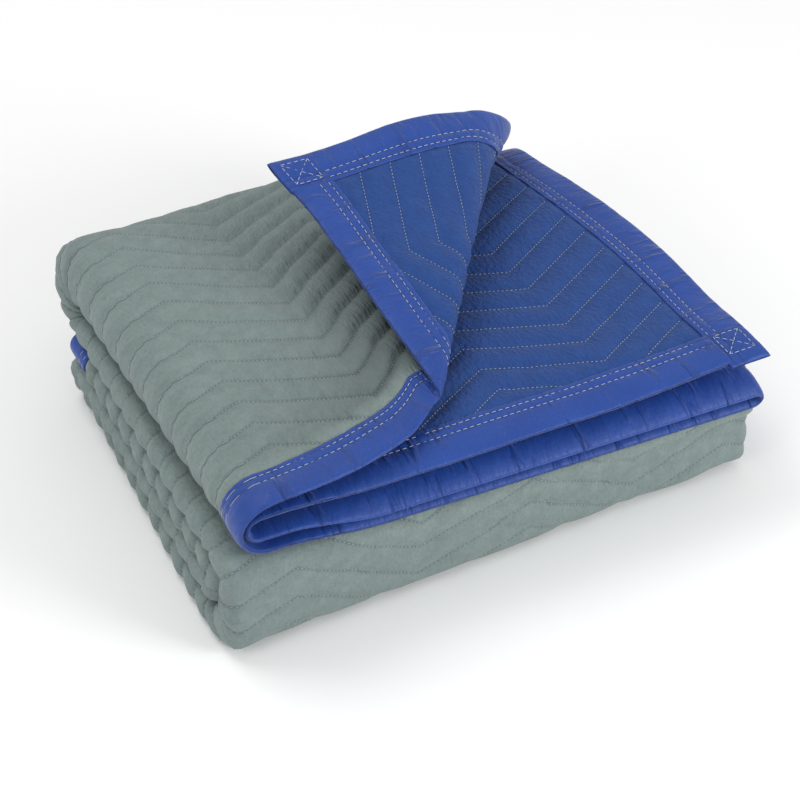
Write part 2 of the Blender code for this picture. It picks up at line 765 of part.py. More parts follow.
def face_of_cloth(patches: list[Patch], sign: float):
    """Returns the flat points, the folded points and the triangles of one face.

    Args:
        patches: Where the face shows its quilting.
        sign: 1 for the grey face and -1 for the blue face.
    """
    drawing = FlatDrawing()
    folding_lines(drawing)
    for tape in tapes():
        bound_edge_lines(drawing, tape)
    for patch in patches:
        drawing.border(patch)
        drawing.quilting(patch)
    flat, triangles = drawing.triangles()
    folded = []
    for s, v in flat:
        place, normal = fold_frame(s, v)
        folded.append(place + normal * sign * cloth_half(s, v, patches))
    return flat, folded, triangles


def rim_order(point) -> float:
    """Returns how far round the flat blanket's rim a point is."""
    s, v = point
    if v < NEAR_RIM:
        return s
    if s > LONG_SIDE - NEAR_RIM:
        return LONG_SIDE + v
    if v > SHORT_SIDE - NEAR_RIM:
        return 2 * LONG_SIDE + SHORT_SIDE - s
    return 2 * (LONG_SIDE + SHORT_SIDE) - v


def on_rim(point) -> bool:
    s, v = point
    return min(s, v, LONG_SIDE - s, SHORT_SIDE - v) < NEAR_RIM


def new_object(name: str, mesh: bpy.types.Mesh, *materials: Material) -> bpy.types.Object:
    """Links a mesh to the scene as a piece with its own finishes."""
    for material in materials:
        finish = bpy.data.materials.new(material.name)
        finish.use_nodes = True
        shader = finish.node_tree.nodes["Principled BSDF"]
        shader.inputs["Base Color"].default_value = (*material.colour, 1.0)
        shader.inputs["Roughness"].default_value = material.roughness
        shader.inputs["Metallic"].default_value = material.metallic
        mesh.materials.append(finish)
    piece = bpy.data.objects.new(name, mesh)
    bpy.context.scene.collection.objects.link(piece)
    return piece


def mesh_from(name: str, points, faces, second_slot=range(0)) -> bpy.types.Mesh:
    """Makes a closed mesh in metres with its faces pointing out.

    Args:
        name: The mesh's name.
        points: Its points in millimetres.
        faces: Its faces, as indices of points.
        second_slot: The indices of the faces that take the second finish.
    """
    shaped = bmesh.new()
    made = [shaped.verts.new(Vector(p) * METRES_PER_MM) for p in points]
    for index, face in enumerate(faces):
        shaped.faces.new([made[corner] for corner in face]).material_index = index in second_slot
    bmesh.ops.recalc_face_normals(shaped, faces=shaped.faces)
    mesh = bpy.data.meshes.new(name)
    shaped.to_mesh(mesh)
    shaped.free()
    return mesh


def make_cloth() -> bpy.types.Object:
    """Makes the quilted cloth, one solid with a grey face and a blue face."""
    grey_flat, grey, grey_faces = face_of_cloth(grey_patches(), 1.0)
    blue_flat, blue, blue_faces = face_of_cloth(blue_patches(), -1.0)
    first_blue = len(grey)
    faces = [tuple(reversed(face)) for face in grey_faces]
    faces += [tuple(index + first_blue for index in face) for face in blue_faces]
    rims = []
    for flat, first in ((grey_flat, 0), (blue_flat, first_blue)):
        rim = [index for index, point in enumerate(flat) if on_rim(point)]
        rim.sort(key=lambda index: rim_order(flat[index]))
        rims.append([index + first for index in rim])
    grey_rim, blue_rim = rims
    for index, (a, b) in enumerate(zip(grey_rim, blue_rim)):
        following = (index + 1) % len(grey_rim)
        faces.append((a, grey_rim[following], blue_rim[following], b))
    blue_range = range(len(grey_faces), len(grey_faces) + len(blue_faces))
    mesh = mesh_from("quilted_cloth", grey + blue, faces, blue_range)
    return new_object("quilted_cloth", mesh, GREY_CLOTH, BLUE_CLOTH)


class Rung(NamedTuple):
    """A line across a tape: how far along the edge it starts, and where the tape ends."""

    at_edge: float
    at_inner: float


def straight_rungs(places: list[float]) -> list[Rung]:
    return [Rung(place, place) for place in places]


class Tape(NamedTuple):
    """A length of binding: the lines across it, and where it also bends along its length.

    to_flat gives the flat point for a distance along the edge and one in from it.
    """

    name: str
    rungs: list[Rung]
    to_flat: Callable[[float, float], tuple[float, float]]
    bends: tuple[float, ...] = ()

    def flat_point(self, rung: Rung, inward: float) -> tuple[float, float]:
        along = lerp(rung.at_edge, rung.at_inner, max(inward, 0.0) / TAPE_WIDTH)
        return self.to_flat(along, inward)


def bound_edge_lines(drawing: FlatDrawing, tape: Tape) -> None:
    """Draws the cloth's bends under a tape, so that the cloth and the tape bend alike."""
    levels = (BARE_EDGE, *tape.bends, 0.0)
    for rung, following in zip(tape.rungs, tape.rungs[1:]):
        for inner, outer in zip(levels, levels[1:]):
            start = tape.flat_point(rung, inner)
            drawing.line_on_cloth(start, tape.flat_point(rung, outer))
            drawing.line_on_cloth(start, tape.flat_point(following, outer))


def make_tape(tape: Tape) -> bpy.types.Object:
    """Makes one length of binding tape, which wraps the cloth's edge."""
    name, rungs = tape.name, tape.rungs
    outline = tape_section(tape.bends)
    points = []
    for rung in rungs:
        for inward, side in outline:
            place, normal = fold_frame(*tape.flat_point(rung, inward))
            points.append(place + normal * side)
    count = len(outline)
    faces = []
    for ring in range(len(rungs) - 1):
        for index in range(count):
            following = (index + 1) % count
            a, b = ring * count + index, ring * count + following
            if outline[following][0] > outline[index][0]:
                faces += [(a, b, a + count), (b, b + count, a + count)]
            else:
                faces += [(a, b, b + count), (a, b + count, a + count)]
    last = (len(rungs) - 1) * count
    cap = tape_end_faces(count)
    faces += cap
    faces += [tuple(last + index for index in reversed(face)) for face in cap]
    return new_object(name, mesh_from(name, points, faces), BLUE_TAPE)


def tape_section(extra) -> list[tuple[float, float]]:
    """Returns the tape's outline where it wraps an edge: distance in, and side."""
    out = CLOTH_THICKNESS / 2.0
    inner = out - TAPE_THICKNESS
    lip = EDGE_GAP + TAPE_THICKNESS
    bends = sorted(extra, reverse=True)
    outside = [(TAPE_WIDTH, out), *((a, out) for a in bends), (TAPE_ROUNDS_FROM, out)]
    outside.append((-lip, out * TAPE_NARROWING))
    inside = [(-EDGE_GAP, inner), *((a, inner) for a in reversed(bends)), (TAPE_WIDTH, inner)]
    far_side = [(a, -w) for a, w in reversed(outside)]
    near_edge = [(a, -w) for a, w in reversed(inside)]
    return outside + far_side + near_edge + inside


def tape_end_faces(count: int) -> list[tuple[int, ...]]:
    """Returns the faces that close the tape's end, between its outer and inner outlines.

    The outer outline has one point more than half of all on each end binding's section, and
    each leaf of the tape has one four-sided face for each bend and one more.
    """
    outer = count // 2 + 1
    leaf = outer // 2 - 2
    faces = []
    for index in range(leaf):
        faces.append((index, index + 1, count - 2 - index, count - 1 - index))
        a = outer - 1 - index
        faces.append((a, outer + index, outer + index + 1, a - 1))
    faces.append((leaf, leaf + 1, leaf + 2, outer + leaf, count - 1 - leaf))
    faces.append((leaf + 2, outer - 1 - leaf, outer + leaf))
    return faces


def bends_across(top: bool) -> list[Rung]:
    """Returns the lines across an end binding, along the long side.

    Args:
        top: Whether the binding is the top section's, which the turned corner bends.
    """
    places = []
    for name, steps in SIDE_FOLD_STEPS.items():
        span = SPANS[name]
        places += [lerp(span.start, span.end, step / steps) for step in range(steps + 1)]
    slanted = []
    if top:
        places += [panel_1_station(x) for x in (*PANEL_1_BENDS, *PANEL_1_FAR_BENDS)]
        places += [panel_2_station(x) for x in PANEL_2_BENDS]
        places += shoulder_stations()
        slanted = corner_rungs_across()
    ends = [TAPE_WIDTH + PIECE_GAP, LONG_SIDE - TAPE_WIDTH - PIECE_GAP]
    return sorted([*straight_rungs(ends + places), *slanted])


def corner_rungs_across() -> list[Rung]:
    """Returns the bends of the turned corner where they cross the front binding."""
    tip_x, tip_v = cone_tip(CREASE_ON_CLOTH, CORNER_CREASE_X, 0.0)
    rungs = []
    for past in CONE_ANGLES:
        slope = math.tan(math.radians(CREASE_ON_CLOTH - past))
        places = [tip_x + (inward - tip_v) / slope for inward in (0.0, TAPE_WIDTH)]
        rungs.append(Rung(*(panel_1_station(x) for x in places)))
    return rungs


def bends_along(top_layer: bool) -> list[Rung]:
    """Returns the lines across a side binding, along the short side.

    Args:
        top_layer: Whether the binding is the top layer's, which has the turned corner.
    """
    lip = EDGE_GAP + TAPE_THICKNESS
    places = [-lip, *DROOP_LINES[:2], SHORT_SIDE + lip]
    for stretch in STRETCHES:
        steps = TURN_STEPS if stretch.turn else 1
        places += [lerp(stretch.start, stretch.end, step / steps) for step in range(steps)]
    places.remove(0.0)
    places += FIRST_SIDE_BENDS if top_layer else SECOND_SIDE_BENDS
    slanted = corner_rungs_along() if top_layer else straight_rungs([DROOP_LENGTH])
    return sorted([*straight_rungs(places), *slanted])


def corner_rungs_along() -> list[Rung]:
    """Returns the bends of the turned corner where they cross the side binding."""
    tip_x, tip_v = cone_tip(CREASE_ON_CLOTH, CORNER_CREASE_X, 0.0)
    rungs = []
    for past in CONE_ANGLES:
        if past < 0.0:
            continue
        slope = math.tan(math.radians(CREASE_ON_CLOTH - past))
        inner_x = STRIP_WIDTH - TAPE_WIDTH * (STRIP_WIDTH - SIDE_FOLD_AT_LEFT) / PANEL_LENGTH
        rungs.append(Rung(*(tip_v + (x - tip_x) * slope for x in (STRIP_WIDTH, inner_x))))
    return rungs


def tapes() -> list[Tape]:
    """Returns the four lengths of tape that bind the blanket's edges."""
    first, second = bends_along(True), bends_along(False)
    return [
        Tape("end_binding_top", bends_across(True), lambda e, a: (e, a), DROOP_LINES[:1]),
        Tape("end_binding_inside", bends_across(False), lambda e, a: (e, SHORT_SIDE - a)),
        Tape("side_binding_top_layer", first, lambda e, a: (a, e)),
        Tape("side_binding_second_layer", second, lambda e, a: (LONG_SIDE - a, e)),
    ]


def stand_on_origin(pieces: list[bpy.types.Object]) -> None:
    """Moves the pieces so that the middle of their underside is the origin."""
    corners = np.array([v.co for piece in pieces for v in piece.data.vertices])
    low, high = corners.min(axis=0), corners.max(axis=0)
    middle = Vector(((low[0] + high[0]) / 2, (low[1] + high[1]) / 2, low[2]))
    for piece in pieces:
        for vertex in piece.data.vertices:
            vertex.co -= middle


def main() -> None:
    """Builds the folded blanket."""
    for old in list(bpy.data.objects):
        bpy.data.objects.remove(old, do_unlink=True)
    pieces = [make_cloth(), *(make_tape(tape) for tape in tapes())]
    stand_on_origin(pieces)


if __name__ == "__main__":
    main()
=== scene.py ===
"""Looks of a quilted moving blanket, folded into a pad with one corner turned back.

The blanket is one rectangle of quilted cloth with tape bound over its edges. A point of the flat
blanket has two measures in millimetres: s runs across its long side and v along its short side.
BlanketFold carries such points into the folded shape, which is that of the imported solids. The
cloth, the tapes and the threads are all drawn flat and carried by it. Pieces are made in metres.
"""

import logging
import math
from collections.abc import Iterable, Sequence
from dataclasses import dataclass, field
from enum import Enum

import bpy
import numpy as np
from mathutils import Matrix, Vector
from mathutils.geometry import delaunay_2d_cdt


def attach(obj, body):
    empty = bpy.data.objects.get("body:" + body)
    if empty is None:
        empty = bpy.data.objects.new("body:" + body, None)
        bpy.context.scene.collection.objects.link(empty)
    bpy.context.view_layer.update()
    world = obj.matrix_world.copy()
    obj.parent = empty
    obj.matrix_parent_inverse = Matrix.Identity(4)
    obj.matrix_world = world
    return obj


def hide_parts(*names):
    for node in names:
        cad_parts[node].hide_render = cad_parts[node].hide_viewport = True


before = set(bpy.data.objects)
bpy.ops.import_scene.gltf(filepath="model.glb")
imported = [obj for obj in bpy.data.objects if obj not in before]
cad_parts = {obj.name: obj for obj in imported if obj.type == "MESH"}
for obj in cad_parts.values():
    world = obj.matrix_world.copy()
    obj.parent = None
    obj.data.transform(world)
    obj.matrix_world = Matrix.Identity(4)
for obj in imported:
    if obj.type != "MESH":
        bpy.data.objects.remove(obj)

BODY = "root"
METRES_PER_MM = 0.001
FAR_OFF = 1000.0
REPORT = logging.getLogger("blanket")

Numbers = np.ndarray
Pair = tuple[Numbers, Numbers]
Colour = tuple[float, float, float]
Place = tuple[float, float, float]


def smooth(value: Numbers) -> Numbers:
    """Returns an eased step from 0 to 1 for values from 0 to 1."""
    t = np.clip(value, 0.0, 1.0)
    return t * t * (3.0 - 2.0 * t)


def lerp(start: Numbers, end: Numbers, share: Numbers) -> Numbers:
    """Returns the value that lies the given share of the way from start to end."""
    return start + (end - start) * share


def powered(value: Numbers, power: float) -> Numbers:
    """Returns a power of a number's size, with the number's sign."""
    return np.sign(value) * np.abs(value) ** power


class Face(Enum):
    """A side of the cloth, with the sign of its normal in the fold's frame."""

    GREY = 1.0
    BLUE = -1.0


class Edge(Enum):
    """An edge of the flat blanket, which a tape binds."""

    FRONT_END = "front end"
    INSIDE_END = "inside end"
    TOP_SIDE = "top side"
    SECOND_SIDE = "second side"


@dataclass(frozen=True)
class Section:
    """A straight run of the folded strip: its ends in Y, its levels and its edges in X.

    low is the level of panel 4 and high the level of panel 1.
    """

    start_y: float
    end_y: float
    low: float
    high: float
    start_left: float
    end_left: float
    start_right: float
    end_right: float


@dataclass
class Bend:
    """A fold between two sections, whose layers lie on squared-off half circles."""

    before: Section
    after: Section
    low_reach: float
    high_reach: float
    low_squareness: float
    high_squareness: float
    samples: int = 240

    def __post_init__(self) -> None:
        """Measures the fold along its outer layer."""
        self.angles = np.linspace(0.0, math.pi, self.samples)
        outer = 0.0 if self.low_reach > self.high_reach else 1.0
        y, z = self.point(self.angles, outer)
        steps = np.hypot(np.diff(y), np.diff(z))
        self.lengths = np.concatenate([[0.0], np.cumsum(steps)])

    @property
    def length(self) -> float:
        """Returns the fold's length along its outer layer."""
        return float(self.lengths[-1])

    def layer(self, angle: Numbers, levels: tuple[float, float], reach: float, squareness: float) -> Pair:
        """Returns the places in Y and Z of one outer layer.

        Args:
            angle: The angles round the fold, from 0 to pi.
            levels: The layer's levels before and after the fold.
            reach: How far the layer goes past the sections' ends.
            squareness: 2 for a round fold and more for a squarer one.

        Returns:
            The places in Y and in Z.
        """
        side = 1.0 if self.before.end_y > self.before.start_y else -1.0
        power = 2.0 / squareness
        half = (levels[0] - levels[1]) / 2.0
        out = reach * powered(np.sin(angle), power)
        return self.before.end_y + side * out, sum(levels) / 2.0 + half * powered(np.cos(angle), power)

    def point(self, angle: Numbers, layer: Numbers) -> Pair:
        """Returns the places in Y and Z of points of a layer, from 0 at panel 4 to 1 at panel 1.

        Args:
            angle: The angles round the fold, from 0 to pi.
            layer: Layers, from 0 at panel 4 to 1 at panel 1.

        Returns:
            The places in Y and in Z.
        """
        low_levels = (self.before.low, self.after.low)
        high_levels = (self.before.high, self.after.high)
        low = self.layer(angle, low_levels, self.low_reach, self.low_squareness)
        high = self.layer(angle, high_levels, self.high_reach, self.high_squareness)
        return lerp(low[0], high[0], layer), lerp(low[1], high[1], layer)

    def at(self, distance: Numbers, layer: Numbers) -> Pair:
        """Returns the places in Y and Z of points some distance round the fold."""
        return self.point(np.interp(distance, self.lengths, self.angles), layer)


@dataclass(frozen=True)
class Run:
    """A section or a bend of the strip, with the distances along it where it starts and ends."""

    start: float
    end: float
    section: Section | None
    bend: Bend | None


@dataclass
class TurnedCorner:
    """The turned-back corner of the top layer, which rolls about a cone.

    The cone's tip is just ahead of the cloth, crease_x across and at its front edge. Angles are in
    degrees about that tip.
    """

    crease_x: float = 204.5
    crease_y: float = 36.0
    tip_ahead: float = 60.0
    on_cloth: float = 47.0
    in_space: float = 58.5
    level: float = 163.0
    swing_fade: float = 70.0
    roll: float = 3.9
    climb: float = 11.0
    pull_start: float = 30.0
    fade_start: float = 262.0
    fade_length: float = 260.0

    def tip(self, angle: float, y: float) -> tuple[float, float]:
        """Returns the cone's tip for a crease at an angle that passes crease_x at y."""
        turned = math.radians(angle)
        return self.crease_x - self.tip_ahead * math.cos(turned), y - self.tip_ahead * math.sin(turned)

    def polar(self, flat_x: Numbers, v: Numbers) -> Pair:
        """Returns points' distances from the cone's tip, and their angles on the cloth."""
        x, y = self.tip(self.on_cloth, 0.0)
        return np.hypot(flat_x - x, v - y), np.degrees(np.arctan2(v - y, flat_x - x))

    def place(self, flat_x: Numbers, v: Numbers) -> Pair:
        """Returns where points of the corner lie, above the crease's level, and their angles.

        Args:
            flat_x: Places in X before the corner is turned.
            v: Distances along the short side.

        Returns:
            The places in millimetres, and the angles on the cloth in degrees.
        """
        reach, angle = self.polar(flat_x, v)
        swing = self.in_space - self.on_cloth
        past = self.on_cloth - angle
        ahead = angle + swing * (1.0 - smooth(-past / self.swing_fade))
        rolled = np.clip(past / self.roll, 0.0, math.pi)
        heading = np.where(past <= 0.0, ahead, self.in_space - self.roll * np.sin(rolled))
        level = np.where(past <= 0.0, 0.0, self.roll * (1.0 - np.cos(rolled)))
        way = direction(heading, level)
        rest = np.radians(np.maximum(past - math.pi * self.roll, 0.0))[:, None]
        tilt = math.radians(self.climb)
        sideways = direction(heading + 90.0, np.zeros_like(heading))
        onward = sideways * math.cos(tilt) + direction(heading, level + 90.0) * math.sin(tilt)
        way = way * np.cos(rest) + onward * np.sin(rest)
        centre = np.array([*self.tip(self.in_space, self.crease_y), 0.0])
        return centre + way * reach[:, None], angle


def direction(heading: Numbers, level: Numbers) -> Numbers:
    """Returns unit vectors at angles round from +X and above the ground, in degrees.

    Args:
        heading: Angles round from +X, in degrees.
        level: Angles above the ground, in degrees.

    Returns:
        The vectors, one for each pair of angles.
    """
    turned, raised = np.radians(heading), np.radians(level)
    flat = np.cos(raised)
    return np.stack([flat * np.cos(turned), flat * np.sin(turned), np.sin(raised)], axis=-1)


@dataclass(frozen=True)
class Front:
    """The front edge of one layer of the top section: where it lies and how far it hangs."""

    layer: float
    edge_y: float
    droop: float


@dataclass(frozen=True)
class Lean:
    """A place where the whole pad has leaned or sunk a little, fading out over its spread."""

    centre: Place
    spread: Place
    shift: Place

    def weight(self, place: Numbers) -> Numbers:
        """Returns how much of the shift points take, from 0 to 1."""
        share = np.abs(place - np.array(self.centre)) / np.array(self.spread)
        return np.prod(1.0 - smooth(share), axis=-1)


@dataclass
class BlanketFold:
    """The folded shape: four panels across, five sections along and one corner turned back."""

    panel: float = 487.0
    side_fold: float = 28.0
    width: float = 508.0
    nest: float = 4.9
    nest_per_thickness: float = 0.03
    thinning: float = 0.13
    thinning_ends: float = 1.1
    swell: float = 0.55
    crown: float = 0.35
    hang_length: float = 60.0
    shoulder_reach: float = 64.0
    shoulder_share: float = 0.98
    shoulder_squareness: float = 4.4
    shoulder_left: float = 40.0
    shoulder_width: float = 100.0
    shoulder_middle: float = 50.0
    side_at_left: float = 30.0
    valley_x: float = 215.0
    valley_width: float = 200.0
    valley_v: float = 400.0
    valley_length: float = 330.0
    valley_depth: float = 0.42
    askew: float = 0.044
    askew_from_x: float = 60.0
    askew_level: float = 62.0
    askew_fade: float = 24.0
    origin: Place = (249.6, 215.33, 0.0)
    corner: TurnedCorner = field(default_factory=TurnedCorner)
    sections: tuple[Section, ...] = (
        Section(-8.0, 362.0, 105.3, 160.5, 5.0, 5.0, 509.0, 478.0),
        Section(362.0, 47.0, 97.6, 78.7, 6.0, -5.0, 484.0, 506.0),
        Section(47.0, 362.0, 2.3, 21.2, -10.0, 9.0, 509.0, 500.0),
        Section(362.0, 47.0, 46.8, 27.9, 2.0, -7.0, 500.0, 505.0),
        Section(47.0, 376.0, 53.2, 72.1, -6.0, 3.0, 505.0, 500.0),
    )
    # Reach and squareness of each bend's panel 4 and panel 1.
    bends: tuple[tuple[float, float, float, float], ...] = (
        (4.0, 64.0, 2.0, 2.5),
        (60.0, 29.0, 5.0, 2.2),
        (24.0, 3.5, 2.2, 2.0),
        (3.5, 22.0, 2.0, 2.2),
    )
    fronts: tuple[Front, ...] = (
        Front(0.0, -8.0, 0.0),
        Front(1.0 / 3.0, -13.0, 9.0),
        Front(2.0 / 3.0, -10.0, 5.0),
        Front(1.0, -17.0, 4.0),
    )
    leans: tuple[Lean, ...] = (
        Lean((520.0, 190.0, 150.0), (170.0, 190.0, 70.0), (8.0, 0.0, 8.0)),
        Lean((530.0, -20.0, 140.0), (200.0, 120.0, 45.0), (-3.0, 0.0, 12.0)),
        Lean((330.0, 335.0, 225.0), (130.0, 110.0, 45.0), (0.0, 0.0, 12.0)),
        Lean((440.0, 355.0, 195.0), (90.0, 90.0, 60.0), (12.0, 0.0, -10.0)),
        Lean((196.0, 324.0, 235.0), (90.0, 70.0, 50.0), (-8.0, 0.0, 2.0)),
    )

    def __post_init__(self) -> None:
        """Lays the sections and bends out along the strip."""
        self.runs: list[Run] = []
        start = 0.0
        for index, section in enumerate(self.sections):
            end = start + abs(section.end_y - section.start_y)
            self.runs.append(Run(start, end, section, None))
            start = end
            if index < len(self.bends):
                bend = Bend(section, self.sections[index + 1], *self.bends[index])
                end = start + bend.length
                self.runs.append(Run(start, end, None, bend))
                start = end
        fold, run = self.side_fold, self.panel
        self.fold_14 = (run, run + fold)
        self.fold_43 = (2 * run + fold, 2 * run + 2 * fold)
        self.fold_32 = (3 * run + 2 * fold, 3 * run + 3 * fold)
        self.long_side = 4 * run + 3 * fold
        self.short_side = start

    def edges(self, v: Numbers) -> tuple[Numbers, Numbers, Numbers]:
        """Returns the strip's left end, right end and height, at distances along it.

        Args:
            v: Distances along the short side.

        Returns:
            The left ends and right ends in X, and the heights.
        """
        left, right, height = (np.zeros_like(v) for _ in range(3))
        for run in self.runs:
            here = (v >= run.start) & (v <= run.end)
            share = (v[here] - run.start) / (run.end - run.start)
            if run.section:
                row = run.section
                left[here] = lerp(row.start_left, row.end_left, share)
                right[here] = lerp(row.start_right, row.end_right, share)
                height[here] = abs(row.high - row.low)
            else:
                before, after = run.bend.before, run.bend.after
                eased = smooth(share)
                left[here] = lerp(before.end_left, after.start_left, eased)
                right[here] = lerp(before.end_right, after.start_right, eased)
                height[here] = lerp(abs(before.high - before.low), abs(after.high - after.low), eased)
        return left, right, height

    def across(self, s: Numbers, left: Numbers, right: Numbers, height: Numbers) -> Pair:
        """Returns the places in X and the layers of points of the strip's folded width.

        Args:
            s: Distances across the long side.
            left: The strip's left ends in X.
            right: Its right ends in X.
            height: Its heights.

        Returns:
            The places in X, and the layers from 0 at panel 4 to 1 at panel 1.
        """
        outer, inner = height / 2.0, height / 6.0
        x_14 = left + outer
        x_32 = left + self.nest + self.nest_per_thickness * height + inner
        x_43 = right - inner

        def angle(span: tuple[float, float]) -> Numbers:
            """Returns the angles round a side fold."""
            return math.pi * np.clip((s - span[0]) / self.side_fold, 0.0, 1.0)

        turn_14, turn_43, turn_32 = angle(self.fold_14), angle(self.fold_43), angle(self.fold_32)
        before = [
            s <= self.panel,
            s <= self.fold_14[1],
            s <= self.fold_43[0],
            s <= self.fold_43[1],
            s <= self.fold_32[0],
            s <= self.fold_32[1],
        ]
        x = [
            lerp(right, x_14, s / self.panel),
            x_14 - outer * np.sin(turn_14),
            lerp(x_14, x_43, (s - self.fold_14[1]) / self.panel),
            x_43 + inner * np.sin(turn_43),
            lerp(x_43, x_32, (s - self.fold_43[1]) / self.panel),
            x_32 - inner * np.sin(turn_32),
        ]
        layer = [
            np.ones_like(s),
            0.5 + 0.5 * np.cos(turn_14),
            np.zeros_like(s),
            (1.0 - np.cos(turn_43)) / 6.0,
            np.full_like(s, 1.0 / 3.0),
            0.5 - np.cos(turn_32) / 6.0,
        ]
        last_x = lerp(x_32, right, (s - self.fold_32[1]) / self.panel)
        return np.select(before, x, last_x), np.select(before, layer, 2.0 / 3.0)

    def front_value(self, layer: Numbers, name: str, wraps: Numbers) -> Numbers:
        """Returns a value of the front edge by layer; the outer side fold wraps the others.

        Args:
            layer: Layers, from 0 to 1.
            name: The value's name in Front.
            wraps: Which points are on the outer side fold or the panels that it joins.

        Returns:
            The values, one for each point.
        """
        layers = [row.layer for row in self.fronts]
        values = [getattr(row, name) for row in self.fronts]
        outer = lerp(values[0], values[-1], layer)
        return np.where(wraps, outer, np.interp(layer, layers, values))

    def shoulder(self, y: Numbers, level: float) -> Numbers:
        """Returns the level of the top section's lowest layer where it hangs over the front fold.

        Args:
            y: Places in Y.
            level: The layer's level behind the shoulder.

        Returns:
            The levels, one for each place.
        """
        ahead = np.clip((self.sections[1].end_y - y) / self.shoulder_reach, 0.0, self.shoulder_share)
        bend = (1.0 - ahead**self.shoulder_squareness) ** (1.0 / self.shoulder_squareness)
        return self.shoulder_middle + (level - self.shoulder_middle) * bend

    def profile(self, v: Numbers, layer: Numbers, wraps: Numbers, x: Numbers) -> Pair:
        """Returns the places in Y and Z of points of layers, at distances along the strip.

        Args:
            v: Distances along the short side.
            layer: Layers, from 0 to 1.
            wraps: Which points are on the outer side fold or the panels that it joins.
            x: Places in X.

        Returns:
            The places in Y and in Z.
        """
        y, z = np.zeros_like(v), np.zeros_like(v)
        for index, run in enumerate(self.runs):
            here = (v >= run.start) & (v <= run.end)
            if not here.any():
                continue
            if run.bend:
                y[here], z[here] = run.bend.at(v[here] - run.start, layer[here])
                continue
            row = run.section
            share = (v[here] - run.start) / (run.end - run.start)
            if index > 0:
                y[here] = lerp(row.start_y, row.end_y, share)
                z[here] = lerp(row.low, row.high, layer[here])
                continue
            y[here] = lerp(self.front_value(layer[here], "edge_y", wraps[here]), row.end_y, share)
            hanging = smooth((x[here] - self.shoulder_left) / self.shoulder_width)
            low = lerp(row.low, self.shoulder(lerp(row.start_y, row.end_y, share), row.low), hanging)
            hang = (1.0 - np.clip(v[here] / self.hang_length, 0.0, 1.0)) ** 2
            droop = self.front_value(layer[here], "droop", wraps[here])
            z[here] = lerp(low, row.high, layer[here]) - droop * hang * hanging
        return y, z

    def strip(self, s: Numbers, v: Numbers) -> Numbers:
        """Returns where points lie before the top corner is turned back.

        Args:
            s: Distances across the long side.
            v: Distances along the short side.

        Returns:
            The places in millimetres.
        """
        x, layer = self.across(s, *self.edges(v))
        y, z = self.profile(v, layer, s <= self.fold_43[0], x)
        to_right = x / self.width
        share = np.clip(to_right, 0.0, 1.0)
        _, low = self.profile(v, np.zeros_like(v), np.full(v.shape, True), x)
        swell = self.swell * share + self.crown * share * (1.0 - share)
        across = 1.0 - smooth(np.abs(x - self.valley_x) / self.valley_width)
        along = 1.0 - smooth(np.abs(v - self.valley_v) / self.valley_length)
        swell -= self.valley_depth * across * along
        swell *= 1.0 - smooth((v - self.corner.fade_start) / self.corner.fade_length)
        swell[v >= self.runs[1].end] = 0.0
        z = low + (z - low) * (1.0 + swell)
        base = self.sections[2].low
        thinning = self.thinning * np.clip(to_right, 0.0, self.thinning_ends)
        return np.stack([x, y, base + (z - base) * (1.0 - thinning)], axis=-1)

    def flat_x(self, s: Numbers) -> Numbers:
        """Returns places in X of points of panel 1 before the corner is turned."""
        return lerp(self.width, self.side_at_left, s / self.panel)

    def place(self, s: Numbers, v: Numbers) -> Numbers:
        """Returns where points of the cloth's middle surface lie, in millimetres.

        Args:
            s: Distances across the long side.
            v: Distances along the short side.

        Returns:
            The places, before the origin is moved to its own.
        """
        place = self.strip(s, v)
        corner = self.corner
        turned = (s <= self.fold_14[1]) & (v <= corner.fade_start + corner.fade_length)
        x = self.flat_x(s[turned])
        spot, angle = corner.place(x, v[turned])
        pull = np.clip((x - corner.pull_start) / (corner.crease_x - corner.pull_start), 0.0, 1.0) ** 2
        pull = np.where(angle > corner.on_cloth, pull, 1.0)
        pull *= 1.0 - smooth((v[turned] - corner.fade_start) / corner.fade_length)
        lifted = smooth((corner.on_cloth - angle) / (math.pi * corner.roll))
        change = spot - place[turned]
        change[:, 2] = spot[:, 2] + lifted * (corner.level - place[turned][:, 2])
        place[turned] += pull[:, None] * change
        leaned = place.copy()
        low = 1.0 - smooth((place[:, 2] - self.askew_level) / self.askew_fade)
        leaned[:, 1] += self.askew * (place[:, 0] - self.askew_from_x) * low
        for lean in self.leans:
            leaned += lean.weight(place)[:, None] * np.array(lean.shift)
        return leaned

    def frame(self, s: Numbers, v: Numbers) -> Pair:
        """Returns points of the middle surface and its normals on the grey side.

        Args:
            s: Distances across the long side, which may lie a little outside the cloth.
            v: Distances along the short side, which may lie a little outside the cloth.

        Returns:
            The places in millimetres and the unit normals.
        """
        step = 0.4
        s_in = np.clip(s, step, self.long_side - step)
        v_in = np.clip(v, step, self.short_side - step)
        along_s = (self.place(s_in + step, v_in) - self.place(s_in - step, v_in)) / (2.0 * step)
        along_v = (self.place(s_in, v_in + step) - self.place(s_in, v_in - step)) / (2.0 * step)
        place = self.place(s_in, v_in)
        for way, off in ((along_s, s - s_in), (along_v, v - v_in)):
            place += unit(way) * off[:, None]
        return place, unit(np.cross(along_v, along_s))


def unit(ways: Numbers) -> Numbers:
    """Returns vectors scaled to a length of 1."""
    return ways / np.maximum(np.linalg.norm(ways, axis=-1, keepdims=True), 1e-9)


